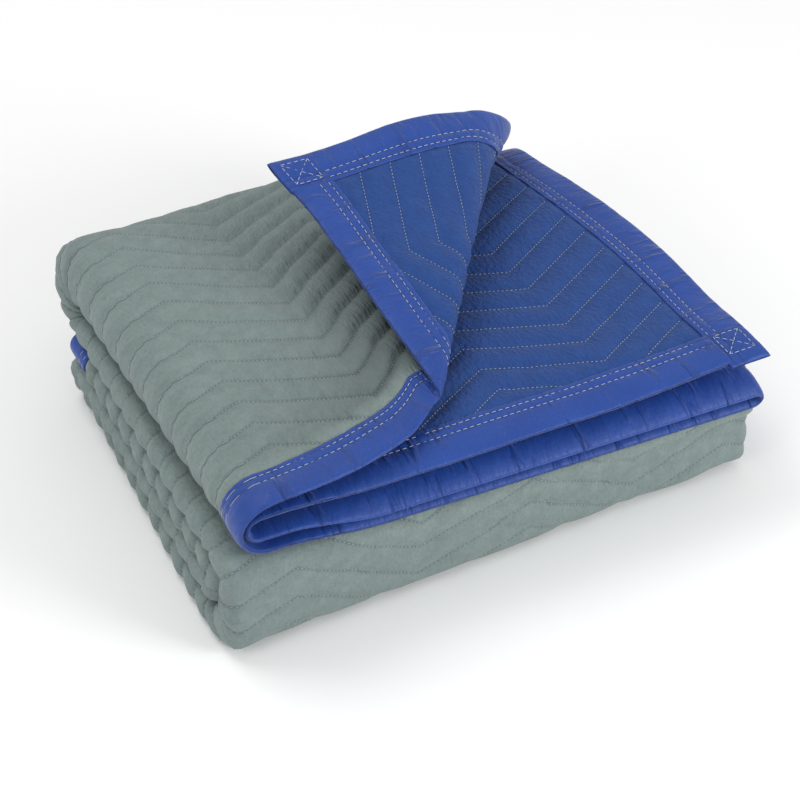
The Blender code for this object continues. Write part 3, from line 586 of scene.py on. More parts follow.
@dataclass(frozen=True)
class Unevenness:
    """Smooth heights from -1 to 1 at a lattice of random values, the same in each run."""

    seed: int
    span_s: float
    span_v: float
    cells: int = 61

    def at(self, s: Numbers, v: Numbers) -> Numbers:
        """Returns the heights at flat points.

        Args:
            s: Distances across the long side.
            v: Distances along the short side.

        Returns:
            The heights, one for each point.
        """
        lattice = np.random.default_rng(self.seed).uniform(-1.0, 1.0, (self.cells, self.cells))
        x, y = s / self.span_s, v / self.span_v
        column, row = np.floor(x).astype(int), np.floor(y).astype(int)
        over, up = smooth(x - column), smooth(y - row)
        a, b = column % self.cells, (column + 1) % self.cells
        c, d = row % self.cells, (row + 1) % self.cells
        return lerp(lerp(lattice[a, c], lattice[b, c], over), lerp(lattice[a, d], lattice[b, d], over), up)


@dataclass(frozen=True)
class Crease:
    """A soft trough or ridge of the cloth along a straight line of the flat blanket."""

    start: tuple[float, float]
    end: tuple[float, float]
    width: float
    height: float
    end_share: float = 0.02

    def at(self, s: Numbers, v: Numbers) -> Numbers:
        """Returns how far the crease lifts flat points to the grey side.

        Args:
            s: Distances across the long side.
            v: Distances along the short side.

        Returns:
            The lifts in millimetres.
        """
        start, end = np.array(self.start), np.array(self.end)
        run = end - start
        away = np.stack([s, v], axis=-1) - start
        share = np.clip(away @ run / (run @ run), 0.0, 1.0)
        distance = np.linalg.norm(away - share[:, None] * run, axis=-1)
        ends = np.sin(math.pi * np.clip(share, self.end_share, 1.0 - self.end_share)) ** 0.5
        return self.height * ends * np.exp(-((distance / self.width) ** 2))


@dataclass
class Quilting:
    """The zigzag lines along which the cloth's two faces are sewn together."""

    fold: BlanketFold
    pitch: float = 31.0
    skew: float = 0.088
    swing: float = 24.0
    ease: float = 22.0
    # Turning points on panels 1, 4, 3 and 2, as distances in X from the closed side.
    turns_1: tuple[float, ...] = (477.0, 372.0, 267.0, 162.0, 57.0)
    turns_4: tuple[float, ...] = (51.0, 170.0, 281.0, 388.0, 485.0)
    turns_3: tuple[float, ...] = (420.0, 300.0, 180.0, 70.0)
    turns_2: tuple[float, ...] = (57.0, 162.0, 267.0, 372.0, 477.0)

    def __post_init__(self) -> None:
        """Works out the turning points across the long side."""
        fold, run = self.fold, self.fold.panel
        wide = fold.width - fold.side_at_left
        stations = [(fold.width - x) / wide * run for x in self.turns_1]
        stations += [fold.fold_14[1] + x / fold.width * run for x in self.turns_4]
        stations += [fold.fold_43[1] + (fold.width - x) / fold.width * run for x in self.turns_3]
        stations += [fold.fold_32[1] + x / fold.width * run for x in self.turns_2]
        self.stations = np.array(stations)
        self.heights = self.swing * (-1.0) ** np.arange(len(stations))

    def shift(self, s: Numbers) -> Numbers:
        """Returns how far along the strip the lines have moved, at distances across it.

        Args:
            s: Distances across the long side.

        Returns:
            The shifts in millimetres.
        """
        corner = self.fold.corner
        x = self.fold.flat_x(np.minimum(s, self.fold.panel))
        pull = np.clip((x - corner.pull_start) / (corner.crease_x - corner.pull_start), 0.0, 1.0) ** 2
        eased = np.where(s <= self.fold.panel, self.ease * pull, 0.0)
        return self.skew * s + np.interp(s, self.stations, self.heights) - eased

    def row(self, s: Numbers, v: Numbers) -> Numbers:
        """Returns which line points lie on, with a fraction between lines."""
        return (v - self.shift(s)) / self.pitch

    def nearness(self, s: Numbers, v: Numbers, power: Numbers) -> Numbers:
        """Returns 1 on stitched lines and 0 between, nearer the first of two for powers below 1."""
        row = self.row(s, v)
        return np.abs(2.0 * (row - np.floor(row)) ** power - 1.0)


@dataclass(frozen=True)
class Patch:
    """A rectangle of the flat cloth that is seen, with how its mesh and its padding are there.

    Columns of points are step_s apart, and puff_grey and puff_blue are how far the padding
    stands proud of the cloth's plain thickness on each face.
    """

    start_s: float
    end_s: float
    start_v: float
    end_v: float
    step_s: float
    puff_grey: float
    puff_blue: float

    def holds(self, s: Numbers, v: Numbers) -> Numbers:
        """Returns which flat points lie in the patch."""
        return (s >= self.start_s) & (s <= self.end_s) & (v >= self.start_v) & (v <= self.end_v)


@dataclass
class Drape:
    """The folded blanket with the unevenness and creases that its cloth really has."""

    fold: BlanketFold
    quilting: Quilting
    # The tapes' width, how far past it the cloth stays flat and how far past it patches start.
    tape_width: float = 38.0
    seam: float = 0.2
    patch_gap: float = 0.3
    # How far the patches at the front turns reach past them, and how much of the second layer
    # is out of sight by its side fold.
    past_turn: float = 10.0
    out_of_sight: float = 80.0
    # From the middle surface to a face: under the tapes, at a stitched line and where unseen.
    bound_half: float = 0.8
    stitched_half: float = 0.7
    plain_half: float = 2.2
    # How far from the tape the cloth takes to rise to its full thickness, and more where tight.
    rise_width: float = 6.0
    tight_rise: float = 10.0
    # How the middle surface strays: how far on each part, how it fades out and in what waves.
    sway_top: float = 1.6
    sway_second: float = 0.7
    sway_front: float = 1.3
    sway_fade: float = 60.0
    wide_waves: Unevenness = Unevenness(7, 96.0, 70.0)
    short_waves: Unevenness = Unevenness(11, 43.0, 38.0)
    short_share: float = 0.5
    # How the padding rounds up between two stitched lines, and how it leans where it is tight.
    arch_power: float = 2.1
    sharpness: float = 0.8
    lopsided: float = 0.38
    tight_puff: float = 2.4
    # Puckers along the padding and lumps in it.
    puckers: Unevenness = Unevenness(3, 6.5, 26.0)
    fine_puckers: Unevenness = Unevenness(5, 3.9, 17.0)
    fine_share: float = 0.6
    pucker_height: float = 0.14
    tight_pucker_height: float = 0.6
    lumps: Unevenness = Unevenness(19, 22.0, 15.0)
    lump_height: float = 0.25
    # Where the turned corner squeezes the padding: reaches from its crease, and margins behind it.
    tight_reach: float = 135.0
    flap_reach: float = 125.0
    flap_margin: float = 30.0
    tape_margin: float = 20.0
    buckle: float = 3.2
    # How the closed side fold squeezes it: near the front fold, and more further from it.
    side_power: float = 0.7
    side_tight: float = 0.2
    side_tight_away: float = 0.4
    side_reach: float = 40.0
    # Where the corner rolls tightest, and how much thinner cloth and tape are there.
    pinch_behind: float = 8.0
    pinch_reach: float = 16.0
    pinch_length: float = 60.0
    pinch_ease: float = 0.35
    creases: tuple[Crease, ...] = (
        # The front tape and the grey cloth where the corner turns back.
        Crease((352.0, 30.0), (362.0, 2.0), 4.0, -1.6),
        Crease((350.0, 44.0), (318.0, 72.0), 7.0, 1.6),
        # The turned corner and the top near the side fold.
        Crease((60.0, 70.0), (150.0, 120.0), 10.0, -1.2),
        Crease((470.0, 320.0), (476.0, 180.0), 14.0, -1.0),
        # The second layer, in front of the turned corner and by its tapes.
        Crease((1740.0, 60.0), (1802.0, 96.0), 7.0, 1.4),
        Crease((1800.0, 45.0), (1852.0, 82.0), 7.0, 1.2),
        Crease((1935.0, 45.0), (1946.0, 123.0), 9.0, 1.0),
        Crease((1880.0, 22.0), (1876.0, 2.0), 4.0, 1.2),
        # The turn at the front.
        Crease((563.0, 925.0), (600.0, 985.0), 8.0, -1.2),
        Crease((860.0, 890.0), (850.0, 960.0), 9.0, -1.0),
        Crease((950.0, 880.0), (936.0, 965.0), 8.0, 1.0),
    )

    def __post_init__(self) -> None:
        """Lays out the patches that are seen."""
        fold, past = self.fold, self.past_turn
        edge = self.tape_width + self.patch_gap
        top_end, second_end = fold.runs[1].end, fold.runs[0].end
        front, low_back = fold.runs[3], fold.runs[5]
        last = fold.short_side - edge
        panel_4 = (fold.fold_14[1], fold.fold_43[0])
        second_start = fold.fold_32[1] + self.out_of_sight
        self.patches = (
            Patch(edge, fold.fold_14[0], edge, top_end, 5.0, 0.9, 1.0),
            Patch(*fold.fold_14, edge, top_end, 3.5, 0.5, 0.0),
            Patch(*fold.fold_14, top_end, last, 3.5, 1.0, 0.0),
            Patch(*panel_4, front.start - past, front.end + past, 5.5, 0.8, 0.0),
            Patch(*panel_4, low_back.start - past, low_back.end + past, 5.5, 0.7, 0.0),
            Patch(*fold.fold_43, edge, last, 4.0, 0.4, 0.0),
            Patch(second_start, fold.long_side - edge, edge, second_end, 5.0, 0.0, 0.9),
        )

    def sway(self, s: Numbers, v: Numbers) -> Numbers:
        """Returns how far the cloth's middle surface strays to the grey side.

        Args:
            s: Distances across the long side.
            v: Distances along the short side.

        Returns:
            The distances in millimetres.
        """
        fold, fade = self.fold, self.sway_fade
        second_end, top_end, front = fold.runs[0].end, fold.runs[1].end, fold.runs[3]
        top = (s < fold.fold_14[0]) * (1.0 - smooth((v - top_end + fade) / fade))
        second = (s > fold.fold_32[1]) * (1.0 - smooth((v - second_end + fade) / fade))
        middle = (front.start + front.end) / 2.0
        turn = 1.0 - smooth(np.abs(v - middle) / (front.end - front.start))
        turn = turn * (s > fold.fold_14[1]) * (s < fold.fold_43[0])
        waves = self.wide_waves.at(s, v) + self.short_share * self.short_waves.at(s, v)
        away = self.sway_top * np.maximum(top, self.sway_second * second) + self.sway_front * turn
        near = self.quilting.nearness(s, v, 1.0)
        total = away * waves - self.buckle * self.by_flap(s, v) * near**3
        for crease in self.creases:
            total = total + crease.at(s, v)
        return total

    def surface(self, s: Numbers, v: Numbers) -> Pair:
        """Returns points of the strayed middle surface, and the normals on the grey side."""
        place, normal = self.fold.frame(s, v)
        return place + normal * self.sway(s, v)[:, None], normal

    def crease_distance(self, s: Numbers, v: Numbers) -> Numbers:
        """Returns how far flat points of panel 1 are from the turned corner's crease.

        Args:
            s: Distances across the long side.
            v: Distances along the short side.

        Returns:
            The distances, below 0 on the corner and large off panel 1.
        """
        reach, angle = self.fold.corner.polar(self.fold.flat_x(s), v)
        away = reach * np.sin(np.radians(np.clip(angle - self.fold.corner.on_cloth, -90.0, 90.0)))
        return np.where(s <= self.fold.fold_14[0], away, FAR_OFF)

    def tightness(self, s: Numbers, v: Numbers) -> Numbers:
        """Returns how much the padding is squeezed up, from 0 to 1, at flat points.

        Args:
            s: Distances across the long side.
            v: Distances along the short side.

        Returns:
            The tightness, one for each point.
        """
        fold = self.fold
        crease = self.crease_distance(s, v)
        ahead = np.maximum(crease, 0.0) / self.tight_reach
        tight = np.exp(-(ahead**2)) * (crease > -self.flap_margin)
        start, end = fold.fold_14
        round_side = np.clip((s - start) / (end - start), 0.0, 1.0)
        front = fold.runs[3]
        from_front = np.abs(v - (front.start + front.end) / 2.0) - (front.end - front.start) / 2.0
        side = np.sin(math.pi * round_side) ** self.side_power * (v > fold.runs[1].start)
        squeeze = self.side_tight + self.side_tight_away * smooth(from_front / self.side_reach)
        return np.maximum(tight, side * squeeze)

    def by_flap(self, s: Numbers, v: Numbers) -> Numbers:
        """Returns how near flat points of the top layer are to the turned corner, from 0 to 1.

        Args:
            s: Distances across the long side.
            v: Distances along the short side.

        Returns:
            The nearness, one for each point.
        """
        crease = self.crease_distance(s, v)
        clear = smooth((np.minimum(s, v) - self.tape_width) / self.tape_margin)
        clear = clear * smooth((crease + self.flap_margin) / self.flap_margin)
        return clear * np.exp(-((crease / self.flap_reach) ** 2))

    def pinch(self, s: Numbers, v: Numbers) -> Numbers:
        """Returns how tightly the turned corner rolls, from 0 to 1, near the front edge."""
        crease = self.crease_distance(s, v)
        near = np.exp(-(((crease + self.pinch_behind) / self.pinch_reach) ** 2))
        return near * (1.0 - smooth((v - self.pinch_length) / self.pinch_length))

    def half(self, s: Numbers, v: Numbers, face: Face) -> Numbers:
        """Returns how far one face of the cloth stands from its middle surface.

        Args:
            s: Distances across the long side.
            v: Distances along the short side.
            face: The face of the cloth.

        Returns:
            The distances in millimetres.
        """
        fold = self.fold
        inset = np.minimum(np.minimum(s, v), np.minimum(fold.long_side - s, fold.short_side - v))
        puff = np.zeros_like(s)
        shown = np.full(s.shape, False)
        for patch in self.patches:
            here = patch.holds(s, v)
            puff[here] = patch.puff_grey if face is Face.GREY else patch.puff_blue
            shown |= here & (puff > 0.0)
        tight = self.tightness(s, v) * (face is Face.GREY)
        sharp = (s > fold.fold_14[0]) * tight
        steep = 1.0 - self.lopsided * (tight + self.sharpness * sharp)
        arch = 1.0 - self.quilting.nearness(s, v, steep) ** (self.arch_power - self.sharpness * sharp)
        puff = puff * (1.0 + self.tight_puff * tight)
        pucker = self.puckers.at(s, v) + self.fine_share * self.fine_puckers.at(s, v)
        pucker = pucker * (self.pucker_height + self.tight_pucker_height * tight)
        wrinkle = pucker * np.sqrt(np.maximum(arch, 0.0)) + self.lump_height * self.lumps.at(s, v) * arch
        padded = self.stitched_half + (self.plain_half + puff - self.stitched_half) * arch + wrinkle
        half = np.where(shown, padded, self.plain_half)
        eased = 1.0 - self.pinch_ease * self.pinch(s, v) * (face is Face.GREY)
        bound = self.bound_half * eased
        rise = smooth((inset - self.tape_width) / (self.rise_width + self.tight_rise * tight))
        return np.where(inset < self.tape_width + self.seam, bound, lerp(bound, half * eased, rise))


def new_piece(name: str, points: Numbers, faces: Sequence[Sequence[int]]) -> bpy.types.Object:
    """Makes a smooth-shaded mesh piece that lies on the floor and moves with the one body.

    Args:
        name: The piece's name.
        points: Its points in the fold's millimetres.
        faces: Its faces, as indices of points.

    Returns:
        The piece, linked to the scene.
    """
    grounded = points * METRES_PER_MM
    grounded[:, 2] = np.maximum(grounded[:, 2], 0.0)
    mesh = bpy.data.meshes.new(name)
    mesh.from_pydata(grounded.tolist(), [], [tuple(face) for face in faces])
    mesh.validate()
    mesh.shade_smooth()
    piece = bpy.data.objects.new(name, mesh)
    bpy.context.scene.collection.objects.link(piece)
    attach(piece, BODY)
    return piece


def keep_values(piece: bpy.types.Object, name: str, values: Numbers) -> None:
    """Stores one number or vector for each point of a piece, for its finish to read.

    Args:
        piece: The piece.
        name: The name of the stored values.
        values: A number or a vector for each point.
    """
    vector = values.ndim > 1
    kind = "FLOAT_VECTOR" if vector else "FLOAT"
    made = piece.data.attributes.new(name, kind, "POINT")
    made.data.foreach_set("vector" if vector else "value", values.astype(np.float32).ravel())


FLAT = "flat"
ROW = "row"
TIGHT = "tight"
# How near the turned corner each point is: the mask of the painted shade that darkens the grey cloth next
# to the flap.
CORNER_SHADE_MASK = "corner_shade_mask"
# How far the tapes' blue and grey sides are moved apart in the noise of their finish.
SIDE_SHIFT = 100.0


@dataclass
class QuiltedCloth:
    """The blanket's one piece of cloth, with its padding raised between the stitched lines."""

    drape: Drape
    rows_per_pitch: int = 8
    hidden_step_s: float = 34.0
    hidden_step_v: float = 16.0
    hidden_start_s: float = 3.0
    hidden_start_v: float = 5.0
    clear_of_fold: float = 2.0
    side_fold_stations: int = 9
    bend_stations: int = 17
    rim_step: float = 9.0
    rim_fold_step: float = 4.0
    least_gap: float = 1.0
    turn_gap: float = 1.5
    merge_distance: float = 0.05
    roll_reach: float = 70.0
    roll_step: float = 3.0
    name: str = "quilted_cloth_padded"

    def rim(self) -> list[tuple[float, float]]:
        """Returns the flat blanket's rim, point by point.

        Returns:
            The flat points, in order.
        """
        fold = self.drape.fold
        along_s = self.rim_stations(fold.long_side, [fold.fold_14, fold.fold_43, fold.fold_32])
        bends = [(run.start, run.end) for run in fold.runs if run.bend]
        along_v = self.rim_stations(fold.short_side, bends)
        rim = [(s, 0.0) for s in along_s[:-1]]
        rim += [(fold.long_side, v) for v in along_v[:-1]]
        rim += [(s, fold.short_side) for s in along_s[:0:-1]]
        return rim + [(0.0, v) for v in along_v[:0:-1]]

    def rim_stations(self, length: float, folds: list[tuple[float, float]]) -> Numbers:
        """Returns stations along an edge, closer together at its folds.

        Args:
            length: The edge's length.
            folds: Where each fold starts and ends.

        Returns:
            The distances along the edge.
        """
        stations = list(np.arange(0.0, length, self.rim_step)) + [length]
        for start, end in folds:
            count = max(self.side_fold_stations, int((end - start) / self.rim_fold_step))
            stations += list(np.linspace(start, end, count))
        ordered = sorted(set(round(float(x), 2) for x in stations))
        kept = [ordered[0]]
        for station in ordered[1:]:
            if station - kept[-1] > self.least_gap:
                kept.append(station)
        kept[-1] = length
        return np.array(kept)

    def flat_points(self) -> Numbers:
        """Returns the flat points of the mesh: close together where the cloth is seen.

        Returns:
            The flat points inside the rim.
        """
        drape, quilting = self.drape, self.drape.quilting
        points = []
        for patch in drape.patches:
            count = max(2, round((patch.end_s - patch.start_s) / patch.step_s))
            columns = list(np.linspace(patch.start_s, patch.end_s, count + 1))
            turns = [s for s in quilting.stations if patch.start_s < s < patch.end_s]
            columns = [s for s in columns if all(abs(s - t) > self.turn_gap for t in turns)] + turns
            step = quilting.pitch / self.rows_per_pitch
            for s in columns:
                shift = float(quilting.shift(np.array(s)))
                first = math.ceil((patch.start_v - shift) / step)
                last = math.floor((patch.end_v - shift) / step)
                points += [(s, row * step + shift) for row in range(first, last + 1)]
        columns = self.hidden_columns()
        rows = self.hidden_rows()
        hidden = np.array([(s, v) for s in columns for v in rows] + self.roll_points())
        for patch in drape.patches:
            hidden = hidden[~patch.holds(hidden[:, 0], hidden[:, 1])]
        return np.concatenate([np.array(points), hidden])

    def roll_points(self) -> list[tuple[float, float]]:
        """Returns points close together under the two tapes where the corner rolls back.

        Returns:
            The flat points.
        """
        fold, edge = self.drape.fold, self.drape.tape_width
        crease = (fold.width - fold.corner.crease_x) / (fold.width - fold.side_at_left) * fold.panel
        columns = np.arange(crease - self.roll_reach, crease + self.roll_reach, self.roll_step)
        rows = np.arange(self.roll_step, edge, self.roll_step)
        under_front = [(float(s), float(v)) for s in columns for v in rows]
        along = np.arange(edge + self.roll_step, fold.runs[0].end, self.roll_step)
        return under_front + [(float(s), float(v)) for s in rows for v in along]

    def hidden_columns(self) -> list[float]:
        """Returns the stations across the cloth for the parts that are out of sight.

        Returns:
            Distances across the long side.
        """
        fold = self.drape.fold
        columns = list(np.arange(self.hidden_start_s, fold.long_side, self.hidden_step_s))
        for start, end in (fold.fold_14, fold.fold_43, fold.fold_32):
            near, past = start - self.clear_of_fold, end + self.clear_of_fold
            columns = [s for s in columns if not near < s < past]
            columns += list(np.linspace(start, end, self.side_fold_stations))
        return columns + self.by_tape(fold.long_side)

    def hidden_rows(self) -> list[float]:
        """Returns the stations along the cloth for the parts that are out of sight.

        Returns:
            Distances along the short side.
        """
        fold = self.drape.fold
        rows = list(np.arange(self.hidden_start_v, fold.short_side, self.hidden_step_v))
        for run in fold.runs:
            if run.bend:
                near, past = run.start - self.clear_of_fold, run.end + self.clear_of_fold
                rows = [v for v in rows if not near < v < past]
                rows += list(np.linspace(run.start, run.end, self.bend_stations))
        return rows + self.by_tape(fold.short_side)

    def by_tape(self, length: float) -> list[float]:
        """Returns the stations across a side where the tapes end and the cloth has risen."""
        edge, rise = self.drape.tape_width, self.drape.rise_width
        return [edge, edge + rise, length - edge, length - edge - rise]

    def build(self) -> bpy.types.Object:
        """Makes the cloth, closed at its rim, with its grey and its blue face.

        Returns:
            The piece.
        """
        drape = self.drape
        rim = self.rim()
        inside = self.flat_points()
        flat = [Vector(p) for p in rim] + [Vector(p) for p in inside]
        edges = [(i, (i + 1) % len(rim)) for i in range(len(rim))]
        made = delaunay_2d_cdt(flat, edges, [], 0, self.merge_distance)
        s, v = np.array(made[0]).T
        triangles = [tuple(face) for face in made[2]]
        place, normal = drape.surface(s, v)
        grey = place + normal * drape.half(s, v, Face.GREY)[:, None]
        blue = place - normal * drape.half(s, v, Face.BLUE)[:, None]
        count = len(s)
        faces = [face[::-1] for face in triangles]
        faces += [tuple(i + count for i in face) for face in triangles]
        near_rim = self.rim_order(s, v)
        for a, b in zip(near_rim, near_rim[1:] + near_rim[:1]):
            faces.append((a, b, b + count, a + count))
        origin = np.array(drape.fold.origin)
        piece = new_piece(self.name, np.concatenate([grey, blue]) - origin, faces)
        slots = np.zeros(len(piece.data.polygons), dtype=np.int32)
        slots[len(triangles): 2 * len(triangles)] = 1
        piece.data.polygons.foreach_set("material_index", slots)
        flat_places = np.stack([s, v, np.zeros_like(s)], axis=-1) * METRES_PER_MM
        keep_values(piece, FLAT, np.concatenate([flat_places, flat_places]))
        keep_values(piece, ROW, np.tile(drape.quilting.row(s, v), 2))
        keep_values(piece, TIGHT, np.tile(drape.tightness(s, v), 2))
        # The nearness to the turned corner, for the painted shade on the grey there.
        keep_values(piece, CORNER_SHADE_MASK, np.tile(drape.by_flap(s, v), 2))
        return piece

    def rim_order(self, s: Numbers, v: Numbers) -> list[int]:
        """Returns the indices of the rim's points in their order round it.

        Args:
            s: The mesh's distances across the long side.
            v: Its distances along the short side.

        Returns:
            The indices, in order.
        """
        fold = self.drape.fold
        near = 0.02
        on_front, on_far = v < near, v > fold.short_side - near
        on_left, on_right = s < near, s > fold.long_side - near
        far_corner = fold.long_side + fold.short_side
        order = np.select(
            [on_front, on_right, on_far, on_left],
            [s, fold.long_side + v, far_corner + fold.long_side - s, 2 * far_corner - v],
            -1.0,
        )
        rim = np.flatnonzero(order >= 0.0)
        return [int(i) for i in rim[np.argsort(order[rim])]]


@dataclass
class BindingTape:
    """A length of tape, folded over an edge of the blanket and sewn down with two rows."""

    name: str
    node: str
    edge: Edge
    drape: Drape
    step: float = 2.6
    width: float = 38.0
    thickness: float = 1.0
    out: float = 2.3
    edge_gap: float = 0.8
    rows: tuple[float, float] = (33.0, 25.0)
    puff: float = 0.9
    pucker: float = 0.7
    ear: float = 0.0
    # How far the end tapes reach under the side tapes.
    under: float = 3.0
    # The outer outline by each row and from the rows to the edge: distances in, and shares.
    row_half: float = 1.6
    open_outline: tuple[tuple[float, float], ...] = (
        (19.0, 1.0),
        (14.0, 1.0),
        (9.0, 1.0),
        (5.0, 1.0),
        (2.0, 0.97),
        (0.0, 0.88),
    )
    # The tape's rise and fall: between the rows and the edge, between the rows, and at them.
    crown_power: float = 0.8
    crown_waves: float = 0.6
    hem_height: float = 0.35
    groove_depth: float = 0.5
    groove_width: float = 1.3
    # Puckers, as shares of pucker away from the rows and more at them.
    pucker_away: float = 0.5
    pucker_at_rows: float = 0.8
    pucker_reach: float = 9.0
    first_seed: int = 31
    wave_shift: float = 40.0
    # How much less room there is between layers, and over what distance it closes in.
    buried: float = 0.75
    buried_fade: float = 60.0
    # How near the tape's two sides are at its closed ends, and over what distance.
    closed_share: float = 0.45
    closing_length: float = 2.6

    def to_flat(self, along: Numbers, inward: Numbers) -> Pair:
        """Returns the flat points at distances along the edge and in from it.

        Args:
            along: Distances along the edge.
            inward: Distances in from the edge.

        Returns:
            The distances across the long side and along the short side.
        """
        fold = self.drape.fold
        if self.edge is Edge.FRONT_END:
            return along, inward
        if self.edge is Edge.INSIDE_END:
            return along, fold.short_side - inward
        if self.edge is Edge.TOP_SIDE:
            return inward, along
        return fold.long_side - inward, along

    def ends(self) -> tuple[float, float]:
        """Returns where the tape starts and ends along its edge.

        Returns:
            The distances along the edge where it starts and ends.
        """
        fold = self.drape.fold
        if self.edge in (Edge.FRONT_END, Edge.INSIDE_END):
            return self.width - self.under, fold.long_side - self.width + self.under
        past = self.edge_gap + self.thickness
        return -past - self.ear, fold.short_side + past

    def stations(self) -> Numbers:
        """Returns the places along the edge of the lines of points across the tape."""
        start, end = self.ends()
        return np.linspace(start, end, round((end - start) / self.step) + 1)

    def outside(self) -> list[tuple[float, float]]:
        """Returns half of the tape's outer outline: distances in, and shares of its thickness.

        Returns:
            The outline, from the tape's inner edge to its fold.
        """
        inner, outer = self.rows
        reach = self.row_half
        return [
            (self.width, 0.72),
            (self.width - 1.2, 0.98),
            (inner + reach, 1.0),
            (inner, 1.0),
            (inner - reach, 1.0),
            ((inner + outer) / 2.0, 1.0),
            (outer + reach, 1.0),
            (outer, 1.0),
            (outer - reach, 1.0),
            *self.open_outline,
            (-self.edge_gap - 0.4, 0.62),
        ]

    def roominess(self, along: Numbers) -> Numbers:
        """Returns how freely the tape can puff out, up to 1 in the open.

        Args:
            along: Distances along the edge.

        Returns:
            The room, one share for each place.
        """
        fold = self.drape.fold
        if self.edge in (Edge.TOP_SIDE, Edge.SECOND_SIDE):
            return 1.0 - self.buried * smooth((along - fold.runs[0].end) / self.buried_fade)
        if self.edge is Edge.INSIDE_END:
            return np.full_like(along, 1.0 - self.buried)
        return np.ones_like(along)

    def relief(self, along: Numbers, inward: Numbers, share: Numbers, side: float) -> Numbers:
        """Returns how far a face of the tape stands from the cloth's middle surface.

        Args:
            along: Distances along the edge.
            inward: Distances in from the edge.
            share: The outline's own share of the thickness.
            side: 1 on the grey side and -1 on the blue side.

        Returns:
            Distances from the middle surface, in millimetres.
        """
        seed = self.first_seed + int(side) + 4 * list(Edge).index(self.edge)
        inner, outer = self.rows
        room = self.roominess(along)
        crown = np.sin(math.pi * np.clip(inward / outer, 0.0, 1.0)) ** self.crown_power
        hem = np.sin(math.pi * np.clip((inward - outer) / (inner - outer), 0.0, 1.0))
        grooves = sum(np.exp(-(((inward - row) / self.groove_width) ** 2)) for row in self.rows)
        fine = Unevenness(seed, 7.5, 19.0).at(along, inward + self.wave_shift)
        broad = Unevenness(seed + 9, 34.0, 30.0).at(along, inward + self.wave_shift)
        from_rows = (inward - (inner + outer) / 2.0) / self.pucker_reach
        at_rows = self.pucker_away + self.pucker_at_rows * np.exp(-(from_rows**2))
        puffed = self.puff * crown * (1.0 + self.crown_waves * broad)
        puffed = puffed + self.hem_height * hem - self.groove_depth * grooves
        wrinkled = self.pucker * fine * at_rows
        grip = np.clip(share, 0.0, 1.0)
        return (self.out * share + room * grip * (puffed + wrinkled)) * side

    def build(self) -> bpy.types.Object:
        """Makes the tape as one closed band over the edge.

        Returns:
            The piece.
        """
        along = self.stations()
        outer = self.outside()
        inner_wall = self.out - self.thickness
        inside = [(-self.edge_gap * 0.5, inner_wall), (12.0, inner_wall), (self.width, inner_wall)]
        columns = []
        for inward, share in outer:
            columns.append((inward, share, 1.0, None))
        nose = -self.edge_gap - self.thickness
        columns.append((nose, 0.0, 1.0, 0.0))
        for inward, share in reversed(outer):
            columns.append((inward, share, -1.0, None))
        for inward, wall in reversed(inside):
            columns.append((inward, 0.0, 1.0, -wall))
        for inward, wall in inside:
            columns.append((inward, 0.0, 1.0, wall))
        rings = []
        flats = []
        for inward, share, side, fixed in columns:
            at = np.full_like(along, inward)
            if fixed is None:
                offset = self.relief(along, at, share, side)
            else:
                offset = np.full_like(along, fixed)
            s, v = self.to_flat(along, at)
            pinched = self.drape.pinch_ease * self.drape.pinch(s, v)
            offset = np.where(offset > 0.0, offset * (1.0 - pinched), offset)
            place, normal = self.drape.surface(s, v)
            rings.append(place + normal * (offset * self.closing(along))[:, None])
            flats.append(np.stack([along, at + side * SIDE_SHIFT, np.zeros_like(at)], axis=-1))
        points = np.stack(rings, axis=1)
        count, length = len(columns), len(along)
        faces = band_faces(length, count)
        origin = np.array(self.drape.fold.origin)
        piece = new_piece(self.name, points.reshape(-1, 3) - origin, faces)
        flat_places = np.stack(flats, axis=1).reshape(-1, 3)
        keep_values(piece, FLAT, flat_places * METRES_PER_MM)
        keep_values(piece, ROW, np.tile([inward for inward, _, _, _ in columns], length).astype(float))
        return piece

    def closing(self, along: Numbers) -> Numbers:
        """Returns how far the tape's two sides are apart, as a share, where its ends close.

        Args:
            along: Distances along the edge.

        Returns:
            The shares, one for each place.
        """
        if self.edge in (Edge.FRONT_END, Edge.INSIDE_END):
            return np.ones_like(along)
        start, end = self.ends()
        from_end = np.minimum(along - start, end - along)
        apart = smooth(from_end / self.closing_length) ** 0.5
        return lerp(self.closed_share, 1.0, apart)


def band_faces(length: int, count: int) -> list[tuple[int, ...]]:
    """Returns the faces of a closed band of rings, with its two ends closed.

    Args:
        length: The number of rings.
        count: The number of points in each ring.

    Returns:
        The faces, as indices of points.
    """
    faces = []
    for ring in range(length - 1):
        for index in range(count):
            following = (index + 1) % count
            a, b = ring * count + index, ring * count + following
            faces.append((a, b, b + count, a + count))
    last = (length - 1) * count
    faces.append(tuple(range(count))[::-1])
    faces.append(tuple(last + index for index in range(count)))
    return faces


@dataclass(frozen=True)
class StitchStyle:
    """How a line of stitches is sewn: the length that shows, the gap and the thread's size."""

    length: float
    gap: float
    half_width: float
    half_height: float


@dataclass
class StitchLine:
    """A line of stitches over flat points on one face, with how high it lies there."""

    points: list[tuple[float, float]]
    face: Face
    style: StitchStyle
    height: float


